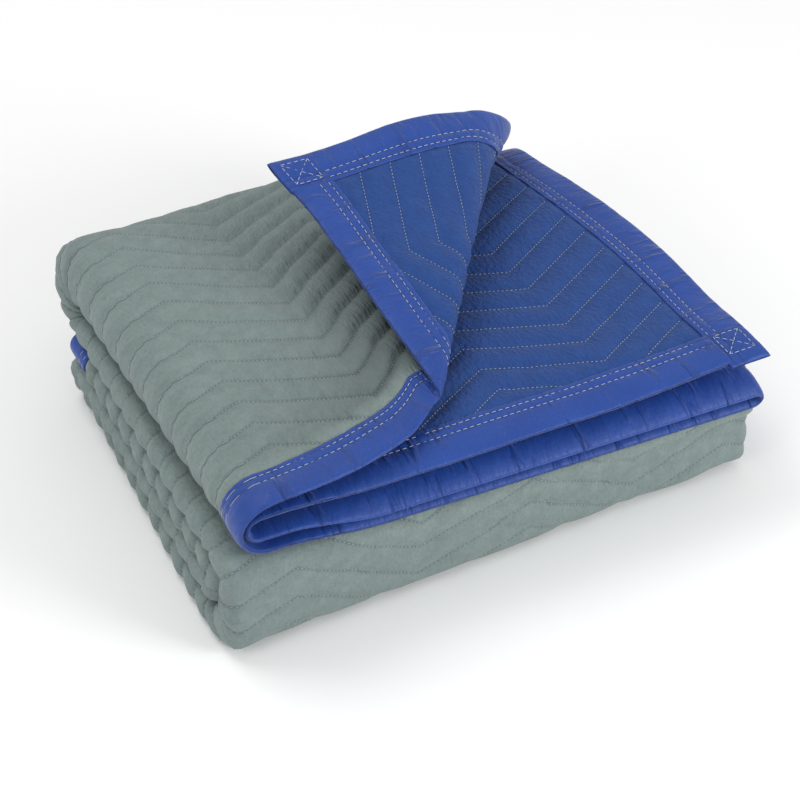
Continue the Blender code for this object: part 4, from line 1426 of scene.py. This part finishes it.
@dataclass
class Sewing:
    """Threads that lie on the cloth and the tapes, each stitch a short flattened bead."""

    drape: Drape
    quilt_style: StitchStyle = StitchStyle(2.5, 1.5, 0.32, 0.3)
    tape_style: StitchStyle = StitchStyle(4.6, 1.8, 0.36, 0.32)
    station_step: float = 15.0
    tape_station_step: float = 12.0
    # How far a tape's rows sink into it, and how far its puff lifts the crossed box.
    sunk: float = 0.35
    box_lift: float = 0.75
    # The least cosine between the normals at a stitch's ends. Stitches on tighter bends are left out.
    least_cosine: float = 0.8
    lines: dict[str, list[StitchLine]] = field(default_factory=dict)

    def quilt(self, name: str, patch: Patch, face: Face) -> None:
        """Adds the quilting's threads of a patch to a piece.

        Args:
            name: The piece's name.
            patch: The patch.
            face: The face that the threads lie on.
        """
        quilting = self.drape.quilting
        turns = [s for s in quilting.stations if patch.start_s < s < patch.end_s]
        between = np.arange(patch.start_s, patch.end_s, self.station_step)
        stations = np.unique(np.concatenate([between, turns, [patch.end_s]]))
        shifts = quilting.shift(stations)
        first = math.floor((patch.start_v - shifts.max()) / quilting.pitch)
        last = math.ceil((patch.end_v - shifts.min()) / quilting.pitch)
        for row in range(first, last + 1):
            points = [(float(s), float(row * quilting.pitch + d)) for s, d in zip(stations, shifts)]
            line = StitchLine(points, face, self.quilt_style, self.drape.stitched_half)
            self.lines.setdefault(name, []).append(line)

    def bind(self, name: str, tape: BindingTape, face: Face, start: float, end: float) -> None:
        """Adds a tape's two rows of threads on one face to a piece.

        Args:
            name: The piece's name.
            tape: The tape.
            face: The face that the threads lie on.
            start: Where the rows start along the edge.
            end: Where they end.
        """
        for row in tape.rows:
            along = np.arange(start, end, self.tape_station_step)
            s, v = tape.to_flat(along, np.full_like(along, row))
            points = [(float(a), float(b)) for a, b in zip(s, v)]
            line = StitchLine(points, face, self.tape_style, tape.out - self.sunk)
            self.lines.setdefault(name, []).append(line)

    def box(self, name: str, tape: BindingTape, face: Face, low: float, high: float) -> None:
        """Adds the crossed box of threads that holds a tape's end at the corner.

        Args:
            name: The piece's name.
            tape: The tape.
            face: The face that the threads lie on.
            low: The box's nearer sides, along the edge and in from it.
            high: Its further sides.
        """
        corners = [(low, low), (high, low), (high, high), (low, high), (low, low), (high, high)]
        paths = [corners, [(high, low), (low, high)]]
        for path in paths:
            points = []
            for along, inward in path:
                s, v = tape.to_flat(np.array([along]), np.array([inward]))
                points.append((float(s[0]), float(v[0])))
            line = StitchLine(points, face, self.tape_style, tape.out + tape.puff * self.box_lift)
            self.lines.setdefault(name, []).append(line)

    def stitches(self, line: StitchLine) -> Iterable[tuple[Numbers, Numbers]]:
        """Yields the flat start and end of each stitch of a line.

        Args:
            line: The line of stitches.

        Yields:
            The start and the end of one stitch at a time.
        """
        points = np.array(line.points)
        steps = np.linalg.norm(np.diff(points, axis=0), axis=1)
        at = np.concatenate([[0.0], np.cumsum(steps)])
        style = line.style
        for start in np.arange(0.0, at[-1] - style.length, style.length + style.gap):
            ends = np.array([start, start + style.length])
            spots = np.stack([np.interp(ends, at, column) for column in points.T], axis=-1)
            yield spots[0], spots[1]

    def build(self, name: str, clip: Sequence[Patch]) -> bpy.types.Object | None:
        """Makes one piece of all the stitches that were added under a name.

        Args:
            name: The piece's name.
            clip: Patches outside which stitches are left out.

        Returns:
            The piece, or None where no stitch is left.
        """
        stitches, values = [], []
        for line in self.lines[name]:
            sizes = (line.face.value, line.height, line.style.half_width, line.style.half_height)
            for ends in self.stitches(line):
                stitches.append(ends)
                values.append(sizes)
        start, end = np.array(stitches).transpose(1, 0, 2)
        kept = np.full(len(start), not clip)
        for patch in clip:
            kept |= patch.holds(start[:, 0], start[:, 1]) & patch.holds(end[:, 0], end[:, 1])
        normals = [self.drape.surface(at[:, 0], at[:, 1])[1] for at in (start, end)]
        kept &= np.sum(normals[0] * normals[1], axis=1) > self.least_cosine
        if not kept.any():
            return None
        return self.beads(name, start[kept], end[kept], np.array(values)[kept])

    def beads(self, name: str, start: Numbers, end: Numbers, values: Numbers) -> bpy.types.Object:
        """Makes the stitches' meshes, each a bead with two tips and three rings of four points.

        Args:
            name: The piece's name.
            start: The flat places where the stitches start.
            end: The flat places where they end.
            values: A row for each stitch: its side of the cloth, 1 or -1, its height over the
                middle surface, and half of its thread's width and height.

        Returns:
            The piece.
        """
        side, height, width, thick = values.T
        origin = np.array(self.drape.fold.origin)
        shares = (0.0, 0.14, 0.5, 0.86, 1.0)
        rises = (-0.55, 0.5, 0.9, 0.5, -0.55)
        spots = []
        for share, rise in zip(shares, rises):
            flat = lerp(start, end, share)
            place, normal = self.drape.surface(flat[:, 0], flat[:, 1])
            out = normal * side[:, None]
            spots.append((place + out * (height + thick * rise)[:, None], out))
        along = unit(spots[-1][0] - spots[0][0])
        rings = [spots[0][0][:, None]]
        for place, out in spots[1:-1]:
            across = unit(np.cross(along, out))
            corners = [(1.0, 0.0), (0.0, 1.0), (-1.0, 0.0), (0.0, -1.0)]
            ring = [place + across * (w * width)[:, None] + out * (h * thick)[:, None] for w, h in corners]
            rings.append(np.stack(ring, axis=1))
        rings.append(spots[-1][0][:, None])
        points = np.concatenate(rings, axis=1)
        per = points.shape[1]
        pattern = [(0, 1 + (k + 1) % 4, 1 + k) for k in range(4)]
        for ring in (1, 5):
            for k in range(4):
                following = (k + 1) % 4
                pattern.append((ring + k, ring + following, ring + 4 + following, ring + 4 + k))
        pattern += [(per - 1, 9 + k, 9 + (k + 1) % 4) for k in range(4)]
        faces = [tuple(i * per + corner for corner in face) for i in range(len(points)) for face in pattern]
        return new_piece(name, points.reshape(-1, 3) - origin, faces)


class Wire:
    """A shader socket whose sums, products and powers add Math nodes."""

    def __init__(self, shader: "Shader", socket: bpy.types.NodeSocket) -> None:
        """Keeps the socket and the shader that it belongs to."""
        self.shader = shader
        self.socket = socket

    def math(self, operation: str, *others: "Wire | float") -> "Wire":
        """Returns the result of a Math node on this value and others."""
        inputs = dict(enumerate([self, *others]))
        return self.shader.wire("ShaderNodeMath", {"operation": operation}, inputs)

    def reflected(self, operation: str, first: float) -> "Wire":
        """Returns the result of a Math node with a number before this value."""
        return self.shader.wire("ShaderNodeMath", {"operation": operation}, {0: first, 1: self})

    def __add__(self, other: "Wire | float") -> "Wire":
        """Returns the sum."""
        return self.math("ADD", other)

    def __radd__(self, other: float) -> "Wire":
        """Returns the sum with a number before this value."""
        return self.reflected("ADD", other)

    def __sub__(self, other: "Wire | float") -> "Wire":
        """Returns the difference."""
        return self.math("SUBTRACT", other)

    def __rsub__(self, other: float) -> "Wire":
        """Returns a number less this value."""
        return self.reflected("SUBTRACT", other)

    def __mul__(self, other: "Wire | float") -> "Wire":
        """Returns the product."""
        return self.math("MULTIPLY", other)

    def __rmul__(self, other: float) -> "Wire":
        """Returns the product with a number before this value."""
        return self.reflected("MULTIPLY", other)

    def __truediv__(self, other: "Wire | float") -> "Wire":
        """Returns the quotient."""
        return self.math("DIVIDE", other)

    def __pow__(self, other: float) -> "Wire":
        """Returns the power."""
        return self.math("POWER", other)

    def __abs__(self) -> "Wire":
        """Returns the size without the sign."""
        return self.math("ABSOLUTE")

    def contrast(self, gain: float, level: float) -> "Wire":
        """Returns the value's distance from one half, scaled and set about another level."""
        return (self - 0.5) * gain + level

    def clamped(self) -> "Wire":
        """Returns the value kept between 0 and 1."""
        return self.math("MAXIMUM", 0.0).math("MINIMUM", 1.0)


@dataclass(frozen=True)
class Grain:
    """A noise: its cells to a metre of the flat cloth each way, its detail and its roughness."""

    cells: tuple[float, float, float]
    detail: float
    rough: float


class Shader:
    """A material's node tree, with one Principled BSDF."""

    def __init__(self, name: str) -> None:
        """Makes the material.

        Args:
            name: The material's name.
        """
        self.material = bpy.data.materials.new(name)
        self.material.use_nodes = True
        self.tree = self.material.node_tree
        self.surface = self.tree.nodes["Principled BSDF"]

    def node(self, kind: str, settings: dict[str, object], inputs: dict) -> bpy.types.Node:
        """Adds a node.

        Args:
            kind: The node's type.
            settings: Its properties, which are set first.
            inputs: Values or wires for its sockets, by name or number.

        Returns:
            The node.
        """
        made = self.tree.nodes.new(kind)
        for name, value in settings.items():
            setattr(made, name, value)
        for name, value in inputs.items():
            self.put(made.inputs[name], value)
        return made

    def put(self, socket: bpy.types.NodeSocket, value: object) -> None:
        """Links a wire to a socket, or sets the socket's own value.

        Args:
            socket: The socket of a node.
            value: A wire, or the value to set.
        """
        if isinstance(value, Wire):
            self.tree.links.new(value.socket, socket)
        else:
            socket.default_value = value

    def wire(self, kind: str, settings: dict[str, object], inputs: dict, output: int | str = 0) -> Wire:
        """Adds a node and returns one of its outputs."""
        return Wire(self, self.node(kind, settings, inputs).outputs[output])

    def stored(self, name: str, output: str) -> Wire:
        """Returns a value that the piece stores for each point."""
        return self.wire("ShaderNodeAttribute", {"attribute_name": name}, {}, output)

    def noise(self, place: Wire, grain: Grain) -> Wire:
        """Returns a grain's noise, from 0 to 1, at places.

        Args:
            place: Places on the flat cloth, in metres.
            grain: The kind of noise.

        Returns:
            The noise's value.
        """
        scaled = self.wire("ShaderNodeVectorMath", {"operation": "MULTIPLY"}, {0: place, 1: grain.cells})
        inputs = {"Vector": scaled, "Scale": 1.0, "Detail": grain.detail, "Roughness": grain.rough}
        return self.wire("ShaderNodeTexNoise", {}, inputs, "Fac")

    def mix(self, share: Wire | float, first: Wire | Colour, second: Wire | Colour) -> Wire:
        """Returns a colour that lies the given share of the way from first to second.

        Args:
            share: How far from first to second, kept between 0 and 1.
            first: The first colour.
            second: The second colour.

        Returns:
            The mixed colour.
        """
        colours = [(*c, 1.0) if isinstance(c, tuple) else c for c in (first, second)]
        inputs = {0: share, 6: colours[0], 7: colours[1]}
        return self.wire("ShaderNodeMix", {"data_type": "RGBA", "clamp_factor": True}, inputs, 2)

    def bump(self, height: Wire, distance: float, under: Wire | None = None) -> Wire:
        """Returns a normal roughened by heights from 0 to 1 over a distance in metres.

        Args:
            height: The heights.
            distance: How far a height of 1 stands out.
            under: A normal that is roughened already.

        Returns:
            The normal.
        """
        inputs = {"Height": height, "Distance": distance, "Strength": 1.0}
        if under:
            inputs["Normal"] = under
        return self.wire("ShaderNodeBump", {}, inputs)

    def set(self, **sockets: object) -> None:
        """Sets or links the shader's own sockets, with _ for a space in a name."""
        for name, value in sockets.items():
            self.put(self.surface.inputs[name.replace("_", " ")], value)


@dataclass(frozen=True)
class ClothFinish:
    """A woven face of the quilted cloth."""

    name: str
    colour: Colour
    light: Colour
    dark: Colour
    # How far the colour goes to dark along the stitched lines, as painted shade in their grooves.
    painted_groove_shade: float
    roughness: float
    sheen: float
    # How far each bump stands, in metres, and how much the cloth gathers away from tight places.
    weave_depth: float = 0.00016
    crinkle_depth: float = 0.0013
    gather_depth: float = 0.004
    gathered: float = 0.5
    gather_reach: float = 9.0
    # Painted shade next to the turned corner: how far the colour goes to dark where the flap shades the
    # cloth.
    painted_corner_shade: float = 0.0
    # The quilting's pitch and the bands of painted shade in the grooves along its lines, in millimetres.
    pitch_mm: float = 31.0
    groove_width: float = 2.4
    tight_groove_width: float = 2.0
    groove_power: float = 1.6
    broad: Grain = Grain((9.0, 9.0, 1.0), 3.0, 0.55)
    mottle: Grain = Grain((70.0, 70.0, 1.0), 4.0, 0.6)
    warp: Grain = Grain((1260.0, 198.0, 1.0), 2.0, 0.5)
    weft: Grain = Grain((198.0, 1260.0, 1.0), 2.0, 0.5)
    crinkle: Grain = Grain((250.0, 190.0, 1.0), 3.0, 0.55)
    gather: Grain = Grain((130.0, 24.0, 1.0), 2.0, 0.5)

    def make(self) -> bpy.types.Material:
        """Makes the material: mottled and finely woven, with painted shade in the grooves along the
        stitched lines and next to the turned corner.

        Returns:
            The material.
        """
        shader = Shader(self.name)
        place = shader.stored(FLAT, "Vector")
        row = shader.stored(ROW, "Fac")
        tight = shader.stored(TIGHT, "Fac")
        # The band of painted shade along each stitched line, wider where the padding is tight.
        line = abs(row - row.math("ROUND")) * self.pitch_mm
        width = tight * self.tight_groove_width + self.groove_width
        groove = (1.0 - line / width).clamped() ** self.groove_power
        broad = shader.noise(place, self.broad)
        mottle = shader.noise(place, self.mottle)
        fibre = (shader.noise(place, self.warp) + shader.noise(place, self.weft)) * 0.5
        body = shader.mix(broad.contrast(0.9, 0.3), self.colour, self.light)
        body = shader.mix(mottle.contrast(0.8, 0.14).clamped(), body, self.dark)
        # Painted shade: the cloth darkens next to the turned corner, as the flap shades it.
        body = shader.mix(shader.stored(CORNER_SHADE_MASK, "Fac") * self.painted_corner_shade, body, self.dark)
        body = shader.mix(fibre.contrast(2.6, 0.15).clamped() * 0.55, body, self.dark)
        # Painted shade in the grooves.
        colour = shader.mix(groove * self.painted_groove_shade, body, self.dark)
        crinkle = shader.noise(place, self.crinkle)
        by_line = (1.0 - line / self.gather_reach).clamped() * 0.5 + 0.25
        gather = (shader.noise(place, self.gather) - 0.5) * by_line * (tight * 2.6 + self.gathered)
        rough = mottle.contrast(0.2, self.roughness)
        normal = shader.bump(fibre, self.weave_depth)
        normal = shader.bump(crinkle, self.crinkle_depth, normal)
        normal = shader.bump(gather, self.gather_depth, normal)
        shader.set(Base_Color=colour, Roughness=rough, Normal=normal)
        shader.set(Metallic=0.0, Sheen_Weight=self.sheen, Sheen_Roughness=0.5, Specular_IOR_Level=0.25)
        return shader.material


@dataclass(frozen=True)
class TapeFinish:
    """The binding tape: smoother than the cloth, with fine crinkles across it."""

    name: str
    colour: Colour
    light: Colour
    dark: Colour
    roughness: float = 0.52
    sheen: float = 0.2
    # How far each bump stands, in metres.
    weave_depth: float = 0.00012
    crinkle_depth: float = 0.0014
    pucker_depth: float = 0.0022
    # The rows of stitches, in millimetres from the edge, and the painted shade in the grooves along them
    # and in the puckers.
    rows: tuple[float, float] = (33.0, 25.0)
    groove_width: float = 1.5
    painted_groove_shade: float = 0.5
    painted_pucker_shade: float = 0.3
    broad: Grain = Grain((16.0, 30.0, 1.0), 3.0, 0.5)
    weave: Grain = Grain((420.0, 420.0, 1.0), 3.0, 0.6)
    crinkle: Grain = Grain((150.0, 60.0, 1.0), 3.0, 0.55)
    pucker: Grain = Grain((75.0, 17.0, 1.0), 2.0, 0.5)
    pucker_level: float = 0.56

    def make(self) -> bpy.types.Material:
        """Makes the material.

        Returns:
            The material.
        """
        shader = Shader(self.name)
        place = shader.stored(FLAT, "Vector")
        broad = shader.noise(place, self.broad)
        fine = shader.noise(place, self.weave)
        crinkle = shader.noise(place, self.crinkle)
        pucker = ((shader.noise(place, self.pucker) - self.pucker_level) * 6.0).clamped()
        inward = shader.stored(ROW, "Fac")
        # Bands of painted shade along the grooves of the rows.
        grooves = sum((1.0 - abs(inward - row) / self.groove_width).clamped() for row in self.rows)
        body = shader.mix(broad.contrast(1.6, 0.4), self.colour, self.light)
        colour = shader.mix(fine.contrast(1.6, 0.2).clamped() * 0.6, body, self.dark)
        normal = shader.bump(fine, self.weave_depth)
        normal = shader.bump(crinkle, self.crinkle_depth, normal)
        normal = shader.bump(0.0 - pucker, self.pucker_depth, normal)
        # Painted shade in the grooves along the rows.
        colour = shader.mix(grooves * self.painted_groove_shade, colour, self.dark)
        # Painted shade in the puckers.
        colour = shader.mix(pucker * self.painted_pucker_shade, colour, self.dark)
        rough = fine.contrast(0.2, self.roughness)
        shader.set(Base_Color=colour, Roughness=rough, Normal=normal)
        shader.set(Metallic=0.0, Sheen_Weight=self.sheen, Sheen_Roughness=0.4, Specular_IOR_Level=0.35)
        return shader.material


@dataclass(frozen=True)
class ThreadFinish:
    """Twisted sewing thread."""

    name: str
    colour: Colour
    dark: Colour
    roughness: float = 0.6
    twist: Grain = Grain((1600.0, 1600.0, 1600.0), 2.0, 0.5)

    def make(self) -> bpy.types.Material:
        """Makes the material.

        Returns:
            The material.
        """
        shader = Shader(self.name)
        place = shader.wire("ShaderNodeTexCoord", {}, {}, "Object")
        twist = shader.noise(place, self.twist)
        colour = shader.mix(twist.contrast(2.0, 0.3).clamped(), self.colour, self.dark)
        shader.set(Base_Color=colour, Roughness=self.roughness, Metallic=0.0)
        return shader.material


@dataclass(frozen=True)
class SoftLight:
    """A square soft light: its place and size in metres, and its power in watts."""

    name: str
    place: Place
    power: float
    size: float


@dataclass
class Studio:
    """The pale floor, the soft lights and the camera at the photograph's angle.

    Angles are in degrees, lengths in metres and the lens and its sensor in millimetres.
    """

    target: Place = (-0.02082, -0.06948, 0.080)
    azimuth: float = -26.71
    elevation: float = 38.97
    distance: float = 2.34635
    lens: float = 118.24
    sensor: float = 36.0
    nearest: float = 0.01
    floor_size: float = 9.0
    floor_drop: float = 0.0004
    floor_colour: Colour = (0.93, 0.93, 0.93)
    world_strength: float = 0.64
    lit: Place = (0.0, 0.0, 0.1)
    lights: tuple[SoftLight, ...] = (
        SoftLight("overhead_light", (-0.7, 0.9, 2.6), 22.0, 1.3),
        SoftLight("front_light", (1.6, -2.2, 1.2), 47.0, 1.2),
        SoftLight("left_light", (-2.3, -0.7, 1.5), 13.0, 1.3),
    )

    def camera(self) -> None:
        """Makes the camera and sets it as the scene's."""
        turn, rise = math.radians(self.azimuth), math.radians(self.elevation)
        back = Vector((math.sin(turn) * math.cos(rise), -math.cos(turn) * math.cos(rise), math.sin(rise)))
        data = bpy.data.cameras.new("camera")
        data.lens = self.lens
        data.sensor_width = self.sensor
        data.clip_start = self.nearest
        eye = bpy.data.objects.new("camera", data)
        eye.location = Vector(self.target) + back * self.distance
        eye.rotation_euler = back.to_track_quat("Z", "Y").to_euler()
        bpy.context.scene.collection.objects.link(eye)
        bpy.context.scene.camera = eye

    def light(self, soft: SoftLight) -> None:
        """Makes a soft light that faces the blanket.

        Args:
            soft: The light's name, place, power and size.
        """
        data = bpy.data.lights.new(soft.name, "AREA")
        data.energy = soft.power
        data.size = soft.size
        lamp = bpy.data.objects.new(soft.name, data)
        lamp.location = soft.place
        away = Vector(soft.place) - Vector(self.lit)
        lamp.rotation_euler = away.to_track_quat("Z", "Y").to_euler()
        bpy.context.scene.collection.objects.link(lamp)

    def floor(self) -> None:
        """Makes the plain floor, just under the blanket."""
        half = self.floor_size / 2.0
        mesh = bpy.data.meshes.new("floor")
        corners = [(-half, -half, 0.0), (half, -half, 0.0), (half, half, 0.0), (-half, half, 0.0)]
        mesh.from_pydata(corners, [], [(0, 1, 2, 3)])
        floor = bpy.data.objects.new("floor", mesh)
        floor.location = (0.0, 0.0, -self.floor_drop)
        shader = Shader("pale_floor")
        shader.set(Base_Color=(*self.floor_colour, 1.0), Roughness=0.9, Specular_IOR_Level=0.1)
        mesh.materials.append(shader.material)
        bpy.context.scene.collection.objects.link(floor)

    def world(self) -> None:
        """Makes the even pale surroundings."""
        world = bpy.data.worlds.new("surroundings")
        world.use_nodes = True
        background = world.node_tree.nodes["Background"]
        background.inputs["Color"].default_value = (1.0, 1.0, 1.0, 1.0)
        background.inputs["Strength"].default_value = self.world_strength
        bpy.context.scene.world = world

    def build(self) -> None:
        """Sets the studio up, with the colours shown as they are."""
        bpy.context.scene.view_settings.view_transform = "Standard"
        self.camera()
        self.world()
        self.floor()
        for soft in self.lights:
            self.light(soft)


@dataclass
class Blanket:
    """The whole blanket: its cloth, its four tapes and its threads, with their finishes."""

    grey: ClothFinish = ClothFinish(
        "grey_cloth_woven",
        colour=(0.195, 0.25, 0.24),
        light=(0.235, 0.295, 0.286),
        dark=(0.08, 0.106, 0.105),
        # Painted shade in the grooves along the stitched lines.
        painted_groove_shade=0.62,
        roughness=0.88,
        sheen=0.12,
        # Painted shade next to the turned corner.
        painted_corner_shade=0.95,
    )
    blue: ClothFinish = ClothFinish(
        "blue_cloth_woven",
        colour=(0.011, 0.054, 0.225),
        light=(0.016, 0.072, 0.28),
        dark=(0.005, 0.027, 0.13),
        # Painted shade in the grooves along the stitched lines.
        painted_groove_shade=0.55,
        roughness=0.72,
        sheen=0.1,
        crinkle_depth=0.0024,
    )
    tape: TapeFinish = TapeFinish(
        "blue_tape_woven",
        colour=(0.009, 0.048, 0.262),
        light=(0.016, 0.068, 0.335),
        dark=(0.004, 0.022, 0.12),
    )
    quilting_thread: ThreadFinish = ThreadFinish("grey_thread", (0.4, 0.47, 0.5), (0.14, 0.18, 0.2))
    thread: ThreadFinish = ThreadFinish("pale_thread", (0.5, 0.54, 0.6), (0.26, 0.3, 0.36))
    # How far past the side fold the inside tape's rows are sewn, and the crossed box's corners.
    inside_reach: float = 40.0
    box_span: tuple[float, float] = (6.0, 32.0)

    def tapes(self, drape: Drape) -> list[BindingTape]:
        """Returns the four tapes, each with the solid that it replaces and how far its end stands out.

        Args:
            drape: The unevenly folded blanket.

        Returns:
            The tapes: front end, inside end, top side and second side.
        """
        rows = (
            ("binding_front_end", "end_binding_top", Edge.FRONT_END, 0.0),
            ("binding_inside_end", "end_binding_inside", Edge.INSIDE_END, 0.0),
            ("binding_top_side", "side_binding_top_layer", Edge.TOP_SIDE, 1.0),
            ("binding_second_side", "side_binding_second_layer", Edge.SECOND_SIDE, 5.0),
        )
        return [BindingTape(name, node, edge, drape, ear=ear) for name, node, edge, ear in rows]

    def sew(self, drape: Drape, tapes: list[BindingTape]) -> list[bpy.types.Object]:
        """Makes the threads of the quilting and of the tapes.

        Args:
            drape: The unevenly folded blanket.
            tapes: The four tapes.

        Returns:
            The pieces of thread.
        """
        fold = drape.fold
        sewing = Sewing(drape)
        grey_shown = [patch for patch in drape.patches if patch.puff_grey]
        blue_shown = [patch for patch in drape.patches if patch.puff_blue]
        for patch in grey_shown:
            sewing.quilt("quilting_thread_grey_face", patch, Face.GREY)
        for patch in blue_shown:
            sewing.quilt("quilting_thread_blue_face", patch, Face.BLUE)
        front_tape, inside_tape, top_tape, second_tape = tapes
        long_side, short_side, first = fold.long_side, fold.short_side, fold.runs[0].end
        name = "binding_thread"
        edge = front_tape.width
        sewing.bind(name, front_tape, Face.GREY, edge, fold.fold_43[1])
        sewing.bind(name, front_tape, Face.BLUE, edge, fold.fold_14[0])
        sewing.bind(name, front_tape, Face.BLUE, fold.fold_43[1], long_side - edge)
        reach = self.inside_reach
        sewing.bind(name, inside_tape, Face.GREY, fold.fold_14[0] - reach, fold.fold_14[1] + reach)
        sewing.bind(name, inside_tape, Face.BLUE, edge, fold.fold_14[1])
        sewing.bind(name, top_tape, Face.GREY, edge, short_side)
        sewing.bind(name, top_tape, Face.BLUE, edge, short_side)
        sewing.bind(name, second_tape, Face.BLUE, edge, first)
        sewing.bind(name, second_tape, Face.GREY, edge, short_side)
        for tape in (top_tape, second_tape):
            for face in Face:
                sewing.box(name, tape, face, *self.box_span)
        made = [
            sewing.build("quilting_thread_grey_face", grey_shown),
            sewing.build("quilting_thread_blue_face", blue_shown),
            sewing.build(name, []),
        ]
        return [piece for piece in made if piece]

    def build(self) -> list[bpy.types.Object]:
        """Builds and dresses the blanket.

        Returns:
            Its pieces.
        """
        fold = BlanketFold()
        drape = Drape(fold, Quilting(fold))
        grey, blue = self.grey.make(), self.blue.make()
        tape_material, thread_material = self.tape.make(), self.thread.make()
        quilting_material = self.quilting_thread.make()
        cloth = QuiltedCloth(drape).build()
        for material in (grey, blue):
            cloth.data.materials.append(material)
        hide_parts("quilted_cloth")
        tapes = self.tapes(drape)
        bands = []
        for tape in tapes:
            band = tape.build()
            band.data.materials.append(tape_material)
            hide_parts(tape.node)
            bands.append(band)
        threads = self.sew(drape, tapes)
        for thread in threads:
            quilted = thread.name.startswith("quilting")
            thread.data.materials.append(quilting_material if quilted else thread_material)
        return [cloth, *bands, *threads]


def main() -> None:
    """Builds the studio and the blanket, and reports each piece."""
    logging.basicConfig(level=logging.INFO, format="%(message)s")
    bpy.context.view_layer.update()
    Studio().build()
    for piece in Blanket().build():
        count = sum(len(face.vertices) - 2 for face in piece.data.polygons)
        REPORT.info("%s: %d triangles", piece.name, count)


if __name__ == "__main__":
    main()
